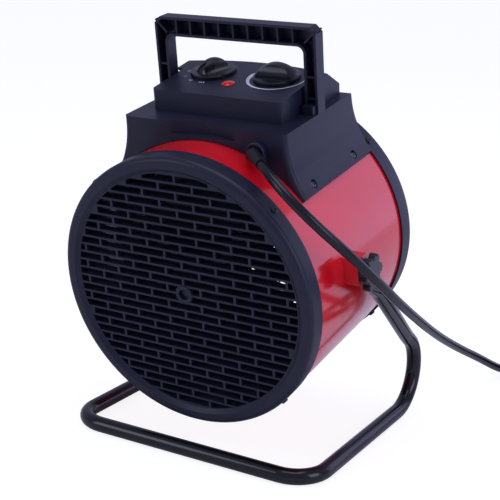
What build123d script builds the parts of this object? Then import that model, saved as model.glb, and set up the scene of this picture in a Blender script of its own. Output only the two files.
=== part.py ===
from build123d import *
import os
from math import atan2, cos, degrees, hypot, pi, radians, sin, sqrt, tan

# A drum-shaped forced air heater on a tilting tube stand.
#
# Heater pieces are drawn in the drum's own frame: the origin is the middle of the drum axis, +Y runs from
# the intake grille to the hot outlet, +Z points at the carry handle and +X is to the right.
# The stand, the cord and the plug are drawn in the level frame, whose origin is on the floor.
# Lengths are in millimetres and angles in degrees.

# ---- drum -----------------------------------------------------------------------------------------------
rest_tilt = 10.14             # the outlet looks this far above the horizon
ring_radius = 140.0           # outside of both black end rings
ring_wall = 1.8
ring_to_shell = 0.2
shell_wall = 1.0
drum_half_length = 115.0      # to the front of either ring
lip_round = 6.0
lip_width = 11.5              # from the ring's outside to the crest of its lip
lip_slope_width = 4.0         # the slope from the crest down to the grille
intake_skirt = 21.1           # how far each ring reaches back over the shell
outlet_skirt = 24.1
shell_setback = 9.0           # the shell ends this far inside the ring fronts
ring_screw_setback = 13.4
outlet_screw_setback = 15.7
ring_screw_angles = [45, 135, 225, 315]

# ---- intake grille --------------------------------------------------------------------------------------
grille_setback = 3.5
grille_depth = 9.5            # the bars are deep, so little of the works shows between them
slot_area_radius = 123.5
row_pitch = 8.75
row_web = 2.2
column_pitch = 37.85
column_web = 2.5
smallest_slot = 24.0          # mm2: slivers at the rim stay closed
hub_outer_radius = 9.0
hub_inner_radius = 5.5
hub_web = 0.6                 # plate left round the hub ring
hub_height = 0.8
hub_recess = 2.6

# ---- outlet guard ---------------------------------------------------------------------------------------
guard_wire = 2.4
guard_ring_count = 7
guard_spoke_count = 8
guard_disc_radius = 13.0
guard_ledge_width = 6.0
guard_ledge_setback = 10.0

# ---- inside the drum ------------------------------------------------------------------------------------
shield_gap = 15.0             # shield to the inside of the shell
shield_wall = 0.8
shield_flange_gap = 0.4       # its front flange to the inside of the shell
shield_setback = 17.0         # from the outlet ring's front
shield_length = 104.0
shield_bracket_width = 14.0
shield_bracket_inset = 12.0
motor_radius = 34.0
motor_setback = 27.0          # from the intake ring's front
motor_length = 50.0
motor_screw_x = 55.0
motor_screw_z = 60.0
motor_lug_width = 11.0
motor_lug_thickness = 3.0
bracket_plate = 1.5
bracket_band = 17.0
bracket_leg_width = 16.0
bracket_tab_length = 12.0
shaft_radius = 4.0
running_fit = 0.05
fan_hub_radius = 21.0
fan_hub_length = 20.0
motor_to_fan = 10.0
fan_tip_gap = 5.0             # blade tip to heat shield
fan_blade_count = 8
fan_blade_thickness = 1.6
fan_blade_pitch = 26.0
fan_blade_spread = 26.0       # half the angle that one blade covers
element_tube_radius = 3.4
front_element_gap = 22.0      # from the shield in to the middle of the element's tube
front_element_setback = 73.0  # from the outlet ring's front, as the next one
rear_element_gap = 44.0
rear_element_setback = 51.0
element_leg_x = 25.0
element_plate = 1.2
element_plate_margin = 7.0
element_hole_gap = 0.35
cutout_ahead = 36.6           # the cut-out's axis before the front element

# ---- control housing ------------------------------------------------------------------------------------
housing_wall = 2.5
ledge_setback = 36.0          # from the intake ring's skirt to the housing
foot_clearance = 2.4          # from the housing to the outlet ring's skirt
ledge_rise = 14.0             # the ledge above the rings
ledge_drop = 6.0              # straight part of the side wall below the ledge
flange_tip_angle = 49.0       # from straight up, round the drum
flange_thickness = 3.5
foot_wall = 20.0              # upright part of the foot's back, below its slope
housing_to_shell = 0.5
corner_round = 5.0
handle_to_box = 17.3          # from the handle's side in to the control box
ledge_depth = 26.2            # from the housing's front to the control box
box_front_rise = 21.1         # the panel's front edge above the ledge
panel_slope = 4.7
handle_to_rear_box = 10.0     # the same at the rear wall
rear_wall_setback = 9.5       # from the back of the housing's foot
shoulder_setback = 42.0       # the next three are from the rear wall
shoulder_top_setback = 52.0
rear_top_setback = 26.0
rear_slope_drop = 17.06       # from the panel's rear edge to the top of the rear wall
shoulder_rise = 13.0          # height of the curved shoulders beside the panel
shoulder_bulge = 3.2
rear_bow = 11.6               # of the panel's rear edge
rear_wall_bow = 4.0
saddle_overlap = 30.0         # how far the box reaches down into the foot
scoop_half_width = 38.0
scoop_depth = 9.0
scoop_plan_radius = 81.5
scoop_height = 12.0
boss_x = 59.6
boss_radius = 10.1
boss_reach = 6.0
boss_drop = 18.8              # the boss's axis below the ledge
boss_foot = 14.0              # how far its hood runs down below the axis
boss_root = 6.0
boss_socket_radius = 7.2
housing_screw_angle = 46.1
front_screw_inset = 27.1      # from the front of the housing
rear_screw_inset = 32.7       # from the back of its foot

# ---- controls -------------------------------------------------------------------------------------------
selector_x = -35.0
selector_y = 25.0
selector_skirt_radius = 23.3
selector_skirt_height = 3.2
selector_grip_height = 11.4
selector_grip_top = 5.8
selector_rim = 6.0            # bare rim of the skirt outside the grip
selector_rest_turn = 60.0     # from the panel's left-right line to the grip when switched off
thermostat_x = 37.0
thermostat_y = 26.0
thermostat_base_radius = 23.8
thermostat_base_height = 3.4
thermostat_dome_height = 12.0
thermostat_grip_top = 9.0
thermostat_rim = 1.6
thermostat_rest_turn = 0.0
knob_flank = 0.72             # half width of the grip's foot, as a share of its length
knob_to_panel = 0.4
knob_shaft_radius = 3.0
knob_shaft_depth = 8.0
neon_x = -3.5
neon_y = 0.0
neon_radius = 6.7
neon_height = 2.6
neon_stem_radius = 4.5
neon_stem_length = 12.0

# ---- handle ---------------------------------------------------------------------------------------------
handle_half_width = 90.0
handle_rise = 83.1            # top of the handle above the ledge
handle_front = 8.3
handle_depth = 15.0
handle_beam = 19.0
handle_leg = 13.6
handle_wall = 2.6
handle_outer_chamfer = 6.5
handle_inner_round = 7.0
rib_thickness = 1.8
beam_rib_count = 9
beam_rib_pitch = 16.3
leg_rib_pitch = 21.0
foot_length = 16.0
foot_height = 9.0
foot_width = 11.5
foot_screw_inset = 8.0

# ---- tilt pivot -----------------------------------------------------------------------------------------
pivot_y = -31.2
pivot_z = 17.9
pivot_bracket_proud = 11.4    # its outer wall beyond the rings
pivot_bracket_front = 9.8     # from the pivot towards the intake
pivot_bracket_back = 11.2
pivot_bracket_up = 14.8
pivot_bracket_down = 12.6
pivot_bracket_wall = 1.5
stud_radius = 4.0
stud_fit = 0.08
washer_thickness = 0.9
washer_radius = 10.0
plate_gap = 0.12              # between a washer, the stand's flat end and the knob
clamp_knob_radius = 18.5
clamp_knob_thickness = 7.8
clamp_knob_lobes = 6
clamp_knob_lobe_radius = 5.2
nut_width = 13.0
nut_height = 6.5

# ---- stand ----------------------------------------------------------------------------------------------
tube_radius = 8.0
tube_wall = 1.5
stand_half_width = 140.0
front_bar_y = -102.3          # level with the drum centre
rear_bend_y = 103.85
rear_bend_radius = 42.0
front_bend_radius = 34.0
upright_slope = 36.22
upright_bend_radius = 60.0    # the slight bend between the flattened end and the runner's bend
upright_straight = 14.0       # from that bend's corner to the rear bend
ring_to_floor = 50.9          # with the drum level
flat_thickness = 4.0
flat_half_width = 11.5
flat_length = 22.0
flat_blend = 28.0
vent_radius = 2.0
vent_setback = 45.0           # the runner's vent hole, before the rear bend

# ---- cord and plug --------------------------------------------------------------------------------------
cord_diameter = 9.4
gland_proud = 2.6             # its ball root beyond the boss
gland_run = (16.0, -13.6, -3.2)
gland_root_radius = 6.2
gland_tip_radius = 5.3
floor_lift = 0.9              # the tie lifts the coil this far off the floor
coil_start = (202.7, 325.8)
coil_heading = 80.0
coil_outer_radius = 60.0
coil_pitch = 10.2             # from one turn to the next, and from layer to layer
coil_half_turns = 3           # in each layer, without the climb between them
tie_strap = 0.8
tie_width = 9.0
tie_gap = 0.05
tie_side_gap = 0.3
tie_inner_gap = 3.2           # the layers lie half a turn's width out of line
plug_face_radius = 18.5
plug_face_length = 8.0
plug_grip_radius = 12.5
plug_grip_length = 22.0
plug_neck_length = 14.0
tail_bend_radius = 60.0
pin_radius = 2.4
pin_length = 19.0
pin_spacing = 19.0
pin_shoulder = 0.1            # the pin proper starts this far off the face
pin_stem_radius = 1.6
pin_stem_length = 6.0

# The cord's route from the end of the gland to the start of the coil, in the level frame.
cord_route = [
    (101.0, -128.0, 295.5), (115.5, -132.0, 286.0), (130.0, -131.5, 274.5), (144.0, -125.0, 260.5),
    (157.5, -112.5, 244.5), (169.5, -93.0, 225.0), (179.5, -66.0, 201.5), (183.0, -22.0, 170.5),
    (181.0, 40.0, 135.0), (177.5, 108.0, 98.5), (179.0, 176.0, 64.5), (185.0, 225.0, 40.5),
    (191.0, 260.0, 21.5), (195.9, 286.8, 8.5), (199.5, 307.3, 5.9),
]

# ---- sizes worked out from the ones above ---------------------------------------------------------------
shell_radius = ring_radius - ring_wall - ring_to_shell
drum_height = ring_radius + ring_to_floor
shell_half = drum_half_length - shell_setback
lip_crest = ring_radius - lip_width
grille_rim = lip_crest - lip_slope_width
intake_skirt_y = -(drum_half_length - intake_skirt)
outlet_skirt_y = drum_half_length - outlet_skirt
grille_face_y = -(drum_half_length - grille_setback)
intake_screw_y = -(drum_half_length - ring_screw_setback)
outlet_screw_y = drum_half_length - outlet_screw_setback
ledge_y_on_outlet = drum_half_length - guard_ledge_setback
shield_radius = shell_radius - shell_wall - shield_gap
shield_back = drum_half_length - shield_setback
shield_front = shield_back - shield_length
motor_front = -(drum_half_length - motor_setback)
motor_back = motor_front + motor_length
fan_hub_start = motor_back + motor_to_fan
front_element_radius = shield_radius - front_element_gap
rear_element_radius = shield_radius - rear_element_gap
front_element_y = drum_half_length - front_element_setback
rear_element_y = drum_half_length - rear_element_setback
housing_inner_radius = shell_radius + housing_to_shell
ledge_half_width = handle_half_width
box_half_width = handle_half_width - handle_to_box
rear_half_width = handle_half_width - handle_to_rear_box
housing_front = intake_skirt_y + ledge_setback
housing_foot_back = outlet_skirt_y - foot_clearance
ledge_height = ring_radius + ledge_rise
box_front = housing_front + ledge_depth
box_front_height = ledge_height + box_front_rise
rear_wall_y = housing_foot_back - rear_wall_setback
rear_shoulder_y = rear_wall_y - shoulder_setback
rear_shoulder_top_y = rear_wall_y - shoulder_top_setback
rear_top_y = rear_wall_y - rear_top_setback
rear_edge_height = box_front_height + (rear_top_y - box_front) * tan(radians(panel_slope))
rear_wall_height = rear_edge_height - rear_slope_drop
scoop_floor = ledge_height - scoop_height
boss_axis_height = ledge_height - boss_drop
housing_screw_ys = [housing_front + front_screw_inset, housing_foot_back - rear_screw_inset]
handle_top = ledge_height + handle_rise
pivot_bracket_face = ring_radius + pivot_bracket_proud
gland_start = (boss_x, housing_front - boss_reach - gland_proud, boss_axis_height)
gland_end = tuple(a + b for a, b in zip(gland_start, gland_run))
cord_radius = cord_diameter / 2
pivot_plate_x = pivot_bracket_face + washer_thickness + plate_gap
knob_inner_x = pivot_plate_x + flat_thickness + plate_gap
bearing_radius = stud_radius + stud_fit
screw_radius = 1.8
screw_hole_radius = 2.05
screw_head_radius = 3.4
screw_head_height = 1.9
beyond = 2 * ring_radius      # cutting shapes reach this far, past every piece


def level_point(x, y, z):
    """A point of the tilted drum, measured from the drum centre but along the level axes."""
    t = radians(rest_tilt)
    return (x, y * cos(t) - z * sin(t), y * sin(t) + z * cos(t))


# The origin is under the middle of the heater and its stand.
ring_overhang = level_point(0, -(drum_half_length - lip_round), ring_radius - lip_round)[1] - lip_round
stand_reach = rear_bend_y + rear_bend_radius + tube_radius
origin_y = -(ring_overhang + stand_reach) / 2


# ---- small makers ---------------------------------------------------------------------------------------
def rod(radius, start, end):
    """A round bar between two points."""
    a = Vector(*start)
    b = Vector(*end)
    plane = Plane(origin=a, z_dir=b - a)
    return extrude(plane * Circle(radius), (b - a).length)


def cone(radius_a, radius_b, start, end):
    """A tapered round bar between two points."""
    a = Vector(*start)
    b = Vector(*end)
    plane = Plane(origin=a, z_dir=b - a)
    length = (b - a).length
    return plane * Cone(radius_a, radius_b, length, align=(Align.CENTER, Align.CENTER, Align.MIN))


def block(x0, x1, y0, y1, z0, z1):
    """A box between two corners."""
    return Pos((x0 + x1) / 2, (y0 + y1) / 2, (z0 + z1) / 2) * Box(x1 - x0, y1 - y0, z1 - z0)


def hoop(outer, inner, y0, y1):
    """A round band about the drum axis."""
    return rod(outer, (0, y0, 0), (0, y1, 0)) - rod(inner, (0, y0 - 1, 0), (0, y1 + 1, 0))


def across(y):
    """The plane across the drum at y, with X to the right and Z up; it extrudes towards the intake."""
    return Plane(origin=(0, y, 0), x_dir=(1, 0, 0), z_dir=(0, -1, 0))


def slab(sketch, y0, y1):
    """A flat X-Z drawing given thickness from y0 to y1."""
    return extrude(across(y1) * sketch, y1 - y0)


def outward(angle, y):
    """A plane on the drum axis whose Z points outwards at this angle from straight up."""
    a = radians(angle)
    return Plane(origin=(0, y, 0), x_dir=(0, 1, 0), z_dir=(sin(a), 0, cos(a)))


def radial_rod(radius, angle, y, r0, r1):
    """A round bar that points outwards from the drum axis, from radius r0 to r1."""
    return outward(angle, y) * Pos(0, 0, (r0 + r1) / 2) * Cylinder(radius, r1 - r0)


def radial_screw(angle, y, seat, length):
    """A pan-head screw driven in towards the drum axis, with its head on the radius seat."""
    head = radial_rod(screw_head_radius, angle, y, seat, seat + screw_head_height)
    top = head.edges().filter_by(GeomType.CIRCLE).sort_by(lambda e: e.center().length)[-1]
    head = fillet(top, screw_head_height * 0.55)
    slot = outward(angle, y) * Pos(0, 0, seat + screw_head_height)
    head = head - slot * Box(4.0, 0.8, 1.6) - slot * Box(0.8, 4.0, 1.6)
    return head + radial_rod(screw_radius, angle, y, seat - length, seat)


def group(solids):
    """Separate solids that share one node."""
    return Compound([part for piece in solids for part in piece.solids()])


def turned(face):
    """A profile drawn with X as radius and Y along the drum, turned about the drum axis."""
    return revolve(face, Axis.Y)


# ---- drum pieces ----------------------------------------------------------------------------------------
def ring_profile(skirt_length, middle):
    """Half section of an end ring: its lip is at y = 0 and its skirt reaches back to y = skirt_length.

    The points in middle carry the outline from the foot of the lip's slope round to the back of that slope.
    """
    inner = lip_round - ring_wall
    centre_r = ring_radius - lip_round
    skirt_inner = ring_radius - ring_wall
    half = sqrt(0.5)
    fall = grille_setback / lip_slope_width
    back_r = grille_rim + ring_wall
    slope_back = fall * (lip_crest - back_r) + ring_wall * sqrt(1 + fall ** 2)
    across_middle = [(lip_crest, 0), (grille_rim, grille_setback)] + middle + [
        (back_r, slope_back),
        (lip_crest + 1, ring_wall),
        (centre_r, ring_wall),
    ]
    edges = [
        Line((ring_radius, skirt_length), (ring_radius, lip_round)),
        ThreePointArc(
            (ring_radius, lip_round),
            (centre_r + lip_round * half, lip_round - lip_round * half),
            (centre_r, 0),
        ),
        Line((centre_r, 0), (lip_crest, 0)),
        Polyline(*across_middle),
        ThreePointArc(
            (centre_r, ring_wall),
            (centre_r + inner * half, lip_round - inner * half),
            (skirt_inner, lip_round),
        ),
        Line((skirt_inner, lip_round), (skirt_inner, skirt_length)),
        Line((skirt_inner, skirt_length), (ring_radius, skirt_length)),
    ]
    return make_face(edges)


def screw_holes(shape, angles, y, inner, outer):
    """Clearance holes for screws that point at the drum axis."""
    for angle in angles:
        shape = shape - radial_rod(screw_hole_radius, angle, y, inner, outer)
    return shape


def grille_slots():
    """The long openings, laid like bricks: every other row is shifted by half a slot."""
    rows = int(slot_area_radius / row_pitch) + 1
    columns = int(slot_area_radius / column_pitch) + 2
    disc = Circle(slot_area_radius)
    hub = Circle(hub_outer_radius + hub_web)
    slots = []
    for row in range(-rows, rows):
        z = (row + 0.5) * row_pitch
        shift = 0.0 if row % 2 == 0 else 0.5
        for column in range(-columns, columns + 1):
            x = (column + shift) * column_pitch
            length = column_pitch - column_web
            height = row_pitch - row_web
            near_x = max(abs(x) - length / 2, 0)
            near_z = max(abs(z) - height / 2, 0)
            if hypot(near_x, near_z) > slot_area_radius - 0.5:
                continue
            slot = Pos(x, z) * Rectangle(length, height)
            if hypot(abs(x) + length / 2, abs(z) + height / 2) > slot_area_radius:
                slot = slot & disc
            if hypot(near_x, near_z) < hub_outer_radius + hub_web:
                slot = slot - hub
            for face in slot.faces():
                if face.area > smallest_slot:
                    slots.append(face)
    return slots


def intake_grille():
    """Ring and grille are one moulding: a rolled lip, a plate with brick slots and a hub ring."""
    back = grille_setback + grille_depth
    back_r = grille_rim + ring_wall
    middle = [
        (hub_outer_radius, grille_setback),
        (hub_outer_radius, grille_setback - hub_height),
        (hub_inner_radius, grille_setback - hub_height),
        (hub_inner_radius, grille_setback + hub_recess),
        (0, grille_setback + hub_recess),
        (0, back),
        (back_r, back),
    ]
    moulding = Pos(0, -drum_half_length, 0) * turned(ring_profile(intake_skirt, middle))
    front = grille_face_y - 1
    slots = [slab(slot, front, front + grille_depth + 2) for slot in grille_slots()]
    moulding = moulding - slots
    return screw_holes(moulding, ring_screw_angles, intake_screw_y, shell_radius, ring_radius + 1)


def element_leg_points():
    """Where the heating elements' legs pass up through the shield and the shell."""
    return [
        (side * element_leg_x, y)
        for side in (-1, 1)
        for y in (front_element_y, rear_element_y)
    ]


def leg_holes(shape, top):
    """Round holes over the element legs."""
    for x, y in element_leg_points():
        shape = shape - rod(element_tube_radius + 1.2, (x, y, shield_radius / 2), (x, y, top))
    return shape


def drum_shell():
    """The rolled steel drum."""
    shell = hoop(shell_radius, shell_radius - shell_wall, -shell_half, shell_half)
    for y in (intake_screw_y, outlet_screw_y):
        shell = screw_holes(shell, ring_screw_angles, y, shell_radius - 5, shell_radius + 1)
    for y in housing_screw_ys:
        sides = [housing_screw_angle, -housing_screw_angle]
        shell = screw_holes(shell, sides, y, shell_radius - 5, shell_radius + 1)
    return leg_holes(shell, shell_radius + 5)


def outlet_ring():
    """The ring at the hot end, with a ledge inside that carries the guard."""
    ledge_inner = grille_rim - guard_ledge_width
    ledge_back = guard_ledge_setback + ring_wall
    middle = [
        (grille_rim, guard_ledge_setback),
        (ledge_inner, guard_ledge_setback),
        (ledge_inner, ledge_back),
        (grille_rim + ring_wall, ledge_back),
    ]
    ring = Rot(X=180) * turned(ring_profile(outlet_skirt, middle))
    ring = Pos(0, drum_half_length, 0) * ring
    return screw_holes(ring, ring_screw_angles, outlet_screw_y, shell_radius, ring_radius + 1)


def outlet_guard():
    """Rings of wire welded on spokes, over the hot end."""
    wire = guard_wire / 2
    y = ledge_y_on_outlet + wire + 0.02
    spoke_y = y + wire * 0.9
    outer = grille_rim - guard_wire
    step = (outer - guard_disc_radius) / guard_ring_count
    guard = rod(guard_disc_radius, (0, y - wire, 0), (0, spoke_y + wire, 0))
    for k in range(guard_spoke_count):
        a = 2 * pi * (k + 0.5) / guard_spoke_count
        guard = guard + rod(wire, (0, spoke_y, 0), (outer * sin(a), spoke_y, outer * cos(a)))
    for k in range(1, guard_ring_count + 1):
        radius = min(guard_disc_radius + k * step, outer)
        guard = guard + Pos(0, y, 0) * Rot(X=90) * Torus(radius, wire)
    return guard


def ring_screws(y):
    """Four screws that hold an end ring to the shell."""
    return group(radial_screw(a, y, ring_radius, 9.0) for a in ring_screw_angles)


# ---- inside the drum ------------------------------------------------------------------------------------
def heat_shield():
    """The bright inner tube round the elements, with a flange in front that closes the gap to the shell."""
    shield = hoop(shield_radius, shield_radius - shield_wall, shield_front, shield_back)
    flange_radius = shell_radius - shell_wall - shield_flange_gap
    shield = shield + hoop(flange_radius, shield_radius - shield_wall, shield_front, shield_front + shield_wall)
    return leg_holes(shield, shield_radius + 5)


def shield_brackets():
    """Four folded strips that hold the shield clear of the shell."""
    reach = shell_radius - shell_wall - shield_radius
    y = shield_back - shield_bracket_inset
    strip = Pos(0, 0, shield_radius + reach / 2) * Box(1.2, shield_bracket_width, reach - 0.8)
    foot = Pos(-4, 0, shield_radius + reach - 1.4) * Box(8, shield_bracket_width, 1.2)
    return group(outward(a, y) * (strip + foot) for a in ring_screw_angles)


def motor_bracket():
    """A ring with four legs that carries the motor from the shell, behind the grille."""
    screw_radius_at = hypot(motor_screw_x, motor_screw_z)
    leg_angle = degrees(atan2(motor_screw_x, motor_screw_z))
    front = motor_front + motor_lug_thickness + 0.1
    back = front + bracket_plate
    outer = screw_radius_at + bracket_band / 2
    tab_radius = shell_radius - shell_wall - 0.3
    bracket = hoop(outer, outer - bracket_band, front, back)
    for angle in (leg_angle, -leg_angle, 180 - leg_angle, 180 + leg_angle):
        plane = outward(angle, front)
        leg_length = tab_radius - outer + 2
        leg = Pos(bracket_plate / 2, 0, outer - 2 + leg_length / 2) * Box(
            bracket_plate, bracket_leg_width, leg_length
        )
        tab = Pos(bracket_tab_length / 2, 0, tab_radius - bracket_plate / 2) * Box(
            bracket_tab_length, bracket_leg_width, bracket_plate
        )
        bracket = bracket + plane * leg + plane * tab
    for x in (-motor_screw_x, motor_screw_x):
        for z in (-motor_screw_z, motor_screw_z):
            bracket = bracket - rod(screw_hole_radius, (x, front - 1, z), (x, back + 1, z))
    return bracket


def fan_motor():
    """The closed motor with four lugs and a bored nose for its shaft."""
    motor = rod(motor_radius, (0, motor_front, 0), (0, motor_back, 0))
    motor = fillet(motor.edges().filter_by(GeomType.CIRCLE), 3.0)
    lug_radius = hypot(motor_screw_x, motor_screw_z)
    lug_angle = degrees(atan2(motor_screw_x, motor_screw_z))
    lug_front = motor_front
    for angle in (lug_angle, -lug_angle, 180 - lug_angle, 180 + lug_angle):
        plane = outward(angle, lug_front)
        length = lug_radius - motor_radius + 8
        lug = Pos(motor_lug_thickness / 2, 0, motor_radius - 8 + length / 2) * Box(
            motor_lug_thickness, motor_lug_width, length
        )
        end = plane * Pos(motor_lug_thickness / 2, 0, lug_radius) * Rot(Y=90)
        motor = motor + plane * lug + end * Cylinder(motor_lug_width / 2, motor_lug_thickness)
    for x in (-motor_screw_x, motor_screw_x):
        for z in (-motor_screw_z, motor_screw_z):
            start = (x, motor_front - 1, z)
            motor = motor - rod(screw_hole_radius, start, (x, motor_front + motor_lug_thickness + 1, z))
    for y in range(int(motor_front) + 14, int(motor_back) - 8, 6):
        motor = motor - hoop(motor_radius + 1, motor_radius - 1.2, y, y + 2)
    bore = shaft_radius + running_fit
    return motor - rod(bore, (0, motor_front + 10, 0), (0, motor_back + 1, 0))


def motor_screws():
    """Four screws through the motor's lugs; their heads show behind the grille."""
    screws = []
    for x in (-motor_screw_x, motor_screw_x):
        for z in (-motor_screw_z, motor_screw_z):
            head = rod(4.2, (x, motor_front - 2.6, z), (x, motor_front, z))
            top = head.edges().filter_by(GeomType.CIRCLE).sort_by(Axis.Y)[0]
            head = fillet(top, 1.4)
            screws.append(head + rod(screw_radius, (x, motor_front, z), (x, motor_front + 9, z)))
    return group(screws)


def motor_shaft():
    """The steel shaft from the motor to the fan."""
    end = fan_hub_start + fan_hub_length + 9
    return rod(shaft_radius, (0, motor_front + 12, 0), (0, end, 0))


def fan_impeller():
    """A hub with pitched blades."""
    hub_end = fan_hub_start + fan_hub_length
    middle = (fan_hub_start + hub_end) / 2
    fan = rod(fan_hub_radius, (0, fan_hub_start, 0), (0, hub_end, 0))
    fan = fillet(fan.edges().filter_by(GeomType.CIRCLE).sort_by(Axis.Y)[0], 4.0)
    fan = fan - hoop(fan_hub_radius - 3, shaft_radius + 4, hub_end - 12, hub_end)
    tip = shield_radius - shield_wall - fan_tip_gap
    root = fan_hub_radius - 2
    spread = radians(fan_blade_spread)
    outline = make_face(
        Wire([
            Line((-root * sin(spread) * 1.4, root), (-tip * sin(spread) * 0.85, tip * cos(spread))),
            ThreePointArc(
                (-tip * sin(spread) * 0.85, tip * cos(spread)),
                (0, tip),
                (tip * sin(spread), tip * cos(spread)),
            ),
            Line((tip * sin(spread), tip * cos(spread)), (root * sin(spread) * 1.4, root)),
            Line((root * sin(spread) * 1.4, root), (-root * sin(spread) * 1.4, root)),
        ])
    )
    blade = extrude(Plane.XZ * outline, fan_blade_thickness / 2, both=True)
    blade = Rot(Z=fan_blade_pitch) * blade
    inside = rod(tip, (0, -beyond, 0), (0, beyond, 0))
    for k in range(fan_blade_count):
        turned_blade = Rot(Y=360 * k / fan_blade_count) * (blade & inside)
        fan = fan + Pos(0, middle, 0) * turned_blade
    bore = shaft_radius + 0.02
    return fan - rod(bore, (0, fan_hub_start - 1, 0), (0, hub_end + 1, 0))


def hex_nut(width, height, hole, base):
    """A nut that stands on the plane base."""
    nut = extrude(base * RegularPolygon(width / 2, 6, major_radius=False), height)
    hole_tool = extrude(base * Circle(hole), height)
    return nut - hole_tool


def fan_nut():
    """The nut that holds the fan on its shaft."""
    base = Plane(origin=(0, fan_hub_start + fan_hub_length + 0.05, 0), z_dir=(0, 1, 0))
    return hex_nut(nut_width, nut_height, shaft_radius + 0.02, base)


def heating_element(radius, y):
    """A sheathed tubular element: one open turn with two legs that rise into the housing."""
    end_angle = degrees(atan2(element_leg_x, sqrt(radius ** 2 - element_leg_x ** 2)))
    section = Plane.XY * Pos(radius, y) * Circle(element_tube_radius)
    turn = revolve(section, Axis.Y, 360 - 2 * end_angle)
    turn = Rot(Y=-90 + end_angle) * turn
    end_z = sqrt(radius ** 2 - element_leg_x ** 2)
    element = turn
    for x in (-element_leg_x, element_leg_x):
        element = element + Pos(x, y, end_z) * Sphere(element_tube_radius)
        element = element + rod(element_tube_radius, (x, y, end_z), (x, y, shell_radius + 7))
    return element


def element_brackets():
    """Three thin plates inside the shield that carry both elements."""
    inner = rear_element_radius - element_tube_radius - element_plate_margin
    outer = shield_radius - shield_wall - 0.1
    hole = element_tube_radius + element_hole_gap
    plate = block(
        -element_plate / 2,
        element_plate / 2,
        front_element_y - element_tube_radius - element_plate_margin,
        rear_element_y + element_tube_radius + element_plate_margin,
        inner,
        outer - 0.05,
    )
    for radius, y in (
        (front_element_radius, front_element_y),
        (rear_element_radius, rear_element_y),
    ):
        plate = plate - rod(hole, (-5, y, radius), (5, y, radius))
    return group(Rot(Y=a) * plate for a in (90, 180, 270))


def thermal_cutout():
    """The overheat switch on top of the shell, under the housing."""
    base = shell_radius + 0.05
    y = front_element_y - cutout_ahead
    body = rod(8.0, (0, y, base), (0, y, base + 7))
    for side in (-1, 1):
        blade = block(side * 4 - 0.4, side * 4 + 0.4, y - 3, y + 3, base + 7, base + 11)
        body = body + blade
    return body


# ---- control housing ------------------------------------------------------------------------------------
def panel_height(y):
    """Height of the sloping control panel."""
    return box_front_height + (y - box_front) * tan(radians(panel_slope))


def panel_plane(x, y):
    """A plane on the control panel at x and y."""
    a = radians(panel_slope)
    return Plane(origin=(x, y, panel_height(y)), x_dir=(1, 0, 0), z_dir=(0, -sin(a), cos(a)))


def saddle(inset):
    """The foot of the housing: straight sides that flare out to flanges on the drum."""
    half = ledge_half_width - inset
    top = ledge_height - inset
    bend = ledge_height - ledge_drop
    tip_radius = shell_radius + housing_to_shell + flange_thickness
    angle = radians(flange_tip_angle)
    tip = (tip_radius * sin(angle) - inset * 1.6, tip_radius * cos(angle))
    dx = tip[0] - half
    dz = bend - tip[1]
    flare = (dx ** 2 + dz ** 2) / (2 * dx)
    turn = atan2(dz, flare - dx)
    middle = (half + flare * (1 - cos(turn / 2)), bend - flare * sin(turn / 2))
    low = housing_inner_radius * cos(angle) - 8
    right = [
        Line((0, top), (half, top)),
        Line((half, top), (half, bend)),
        ThreePointArc((half, bend), middle, tip),
        Line(tip, (tip[0] - 6, low)),
        Line((tip[0] - 6, low), (0, low)),
        Line((0, low), (0, top)),
    ]
    face = make_face(Wire(right))
    face = face + mirror(face, Plane.YZ)
    body = slab(face, housing_front + inset, housing_foot_back - inset)
    if inset == 0:
        corners = body.edges().filter_by(Axis.Z).sort_by(Axis.Y)[:2]
        body = fillet(corners, corner_round)
    slope_back = rear_wall_y - inset
    foot_back = housing_foot_back - inset
    wedge = make_face(
        Polyline(
            (slope_back, rear_wall_height),
            (foot_back, low + foot_wall),
            (foot_back, low - 1),
            (beyond, low - 1),
            (beyond, rear_wall_height),
            close=True,
        )
    )
    return body - extrude(Plane.YZ * wedge, beyond, both=True)


def box_plan(half, front, side_back, bow):
    """Plan of the control box: straight front and sides, and a rear edge that bows outwards."""
    return make_face(
        Wire([
            Line((-half, front), (half, front)),
            Line((half, front), (half, side_back)),
            ThreePointArc((half, side_back), (0, side_back + bow), (-half, side_back)),
            Line((-half, side_back), (-half, front)),
        ])
    )


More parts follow.
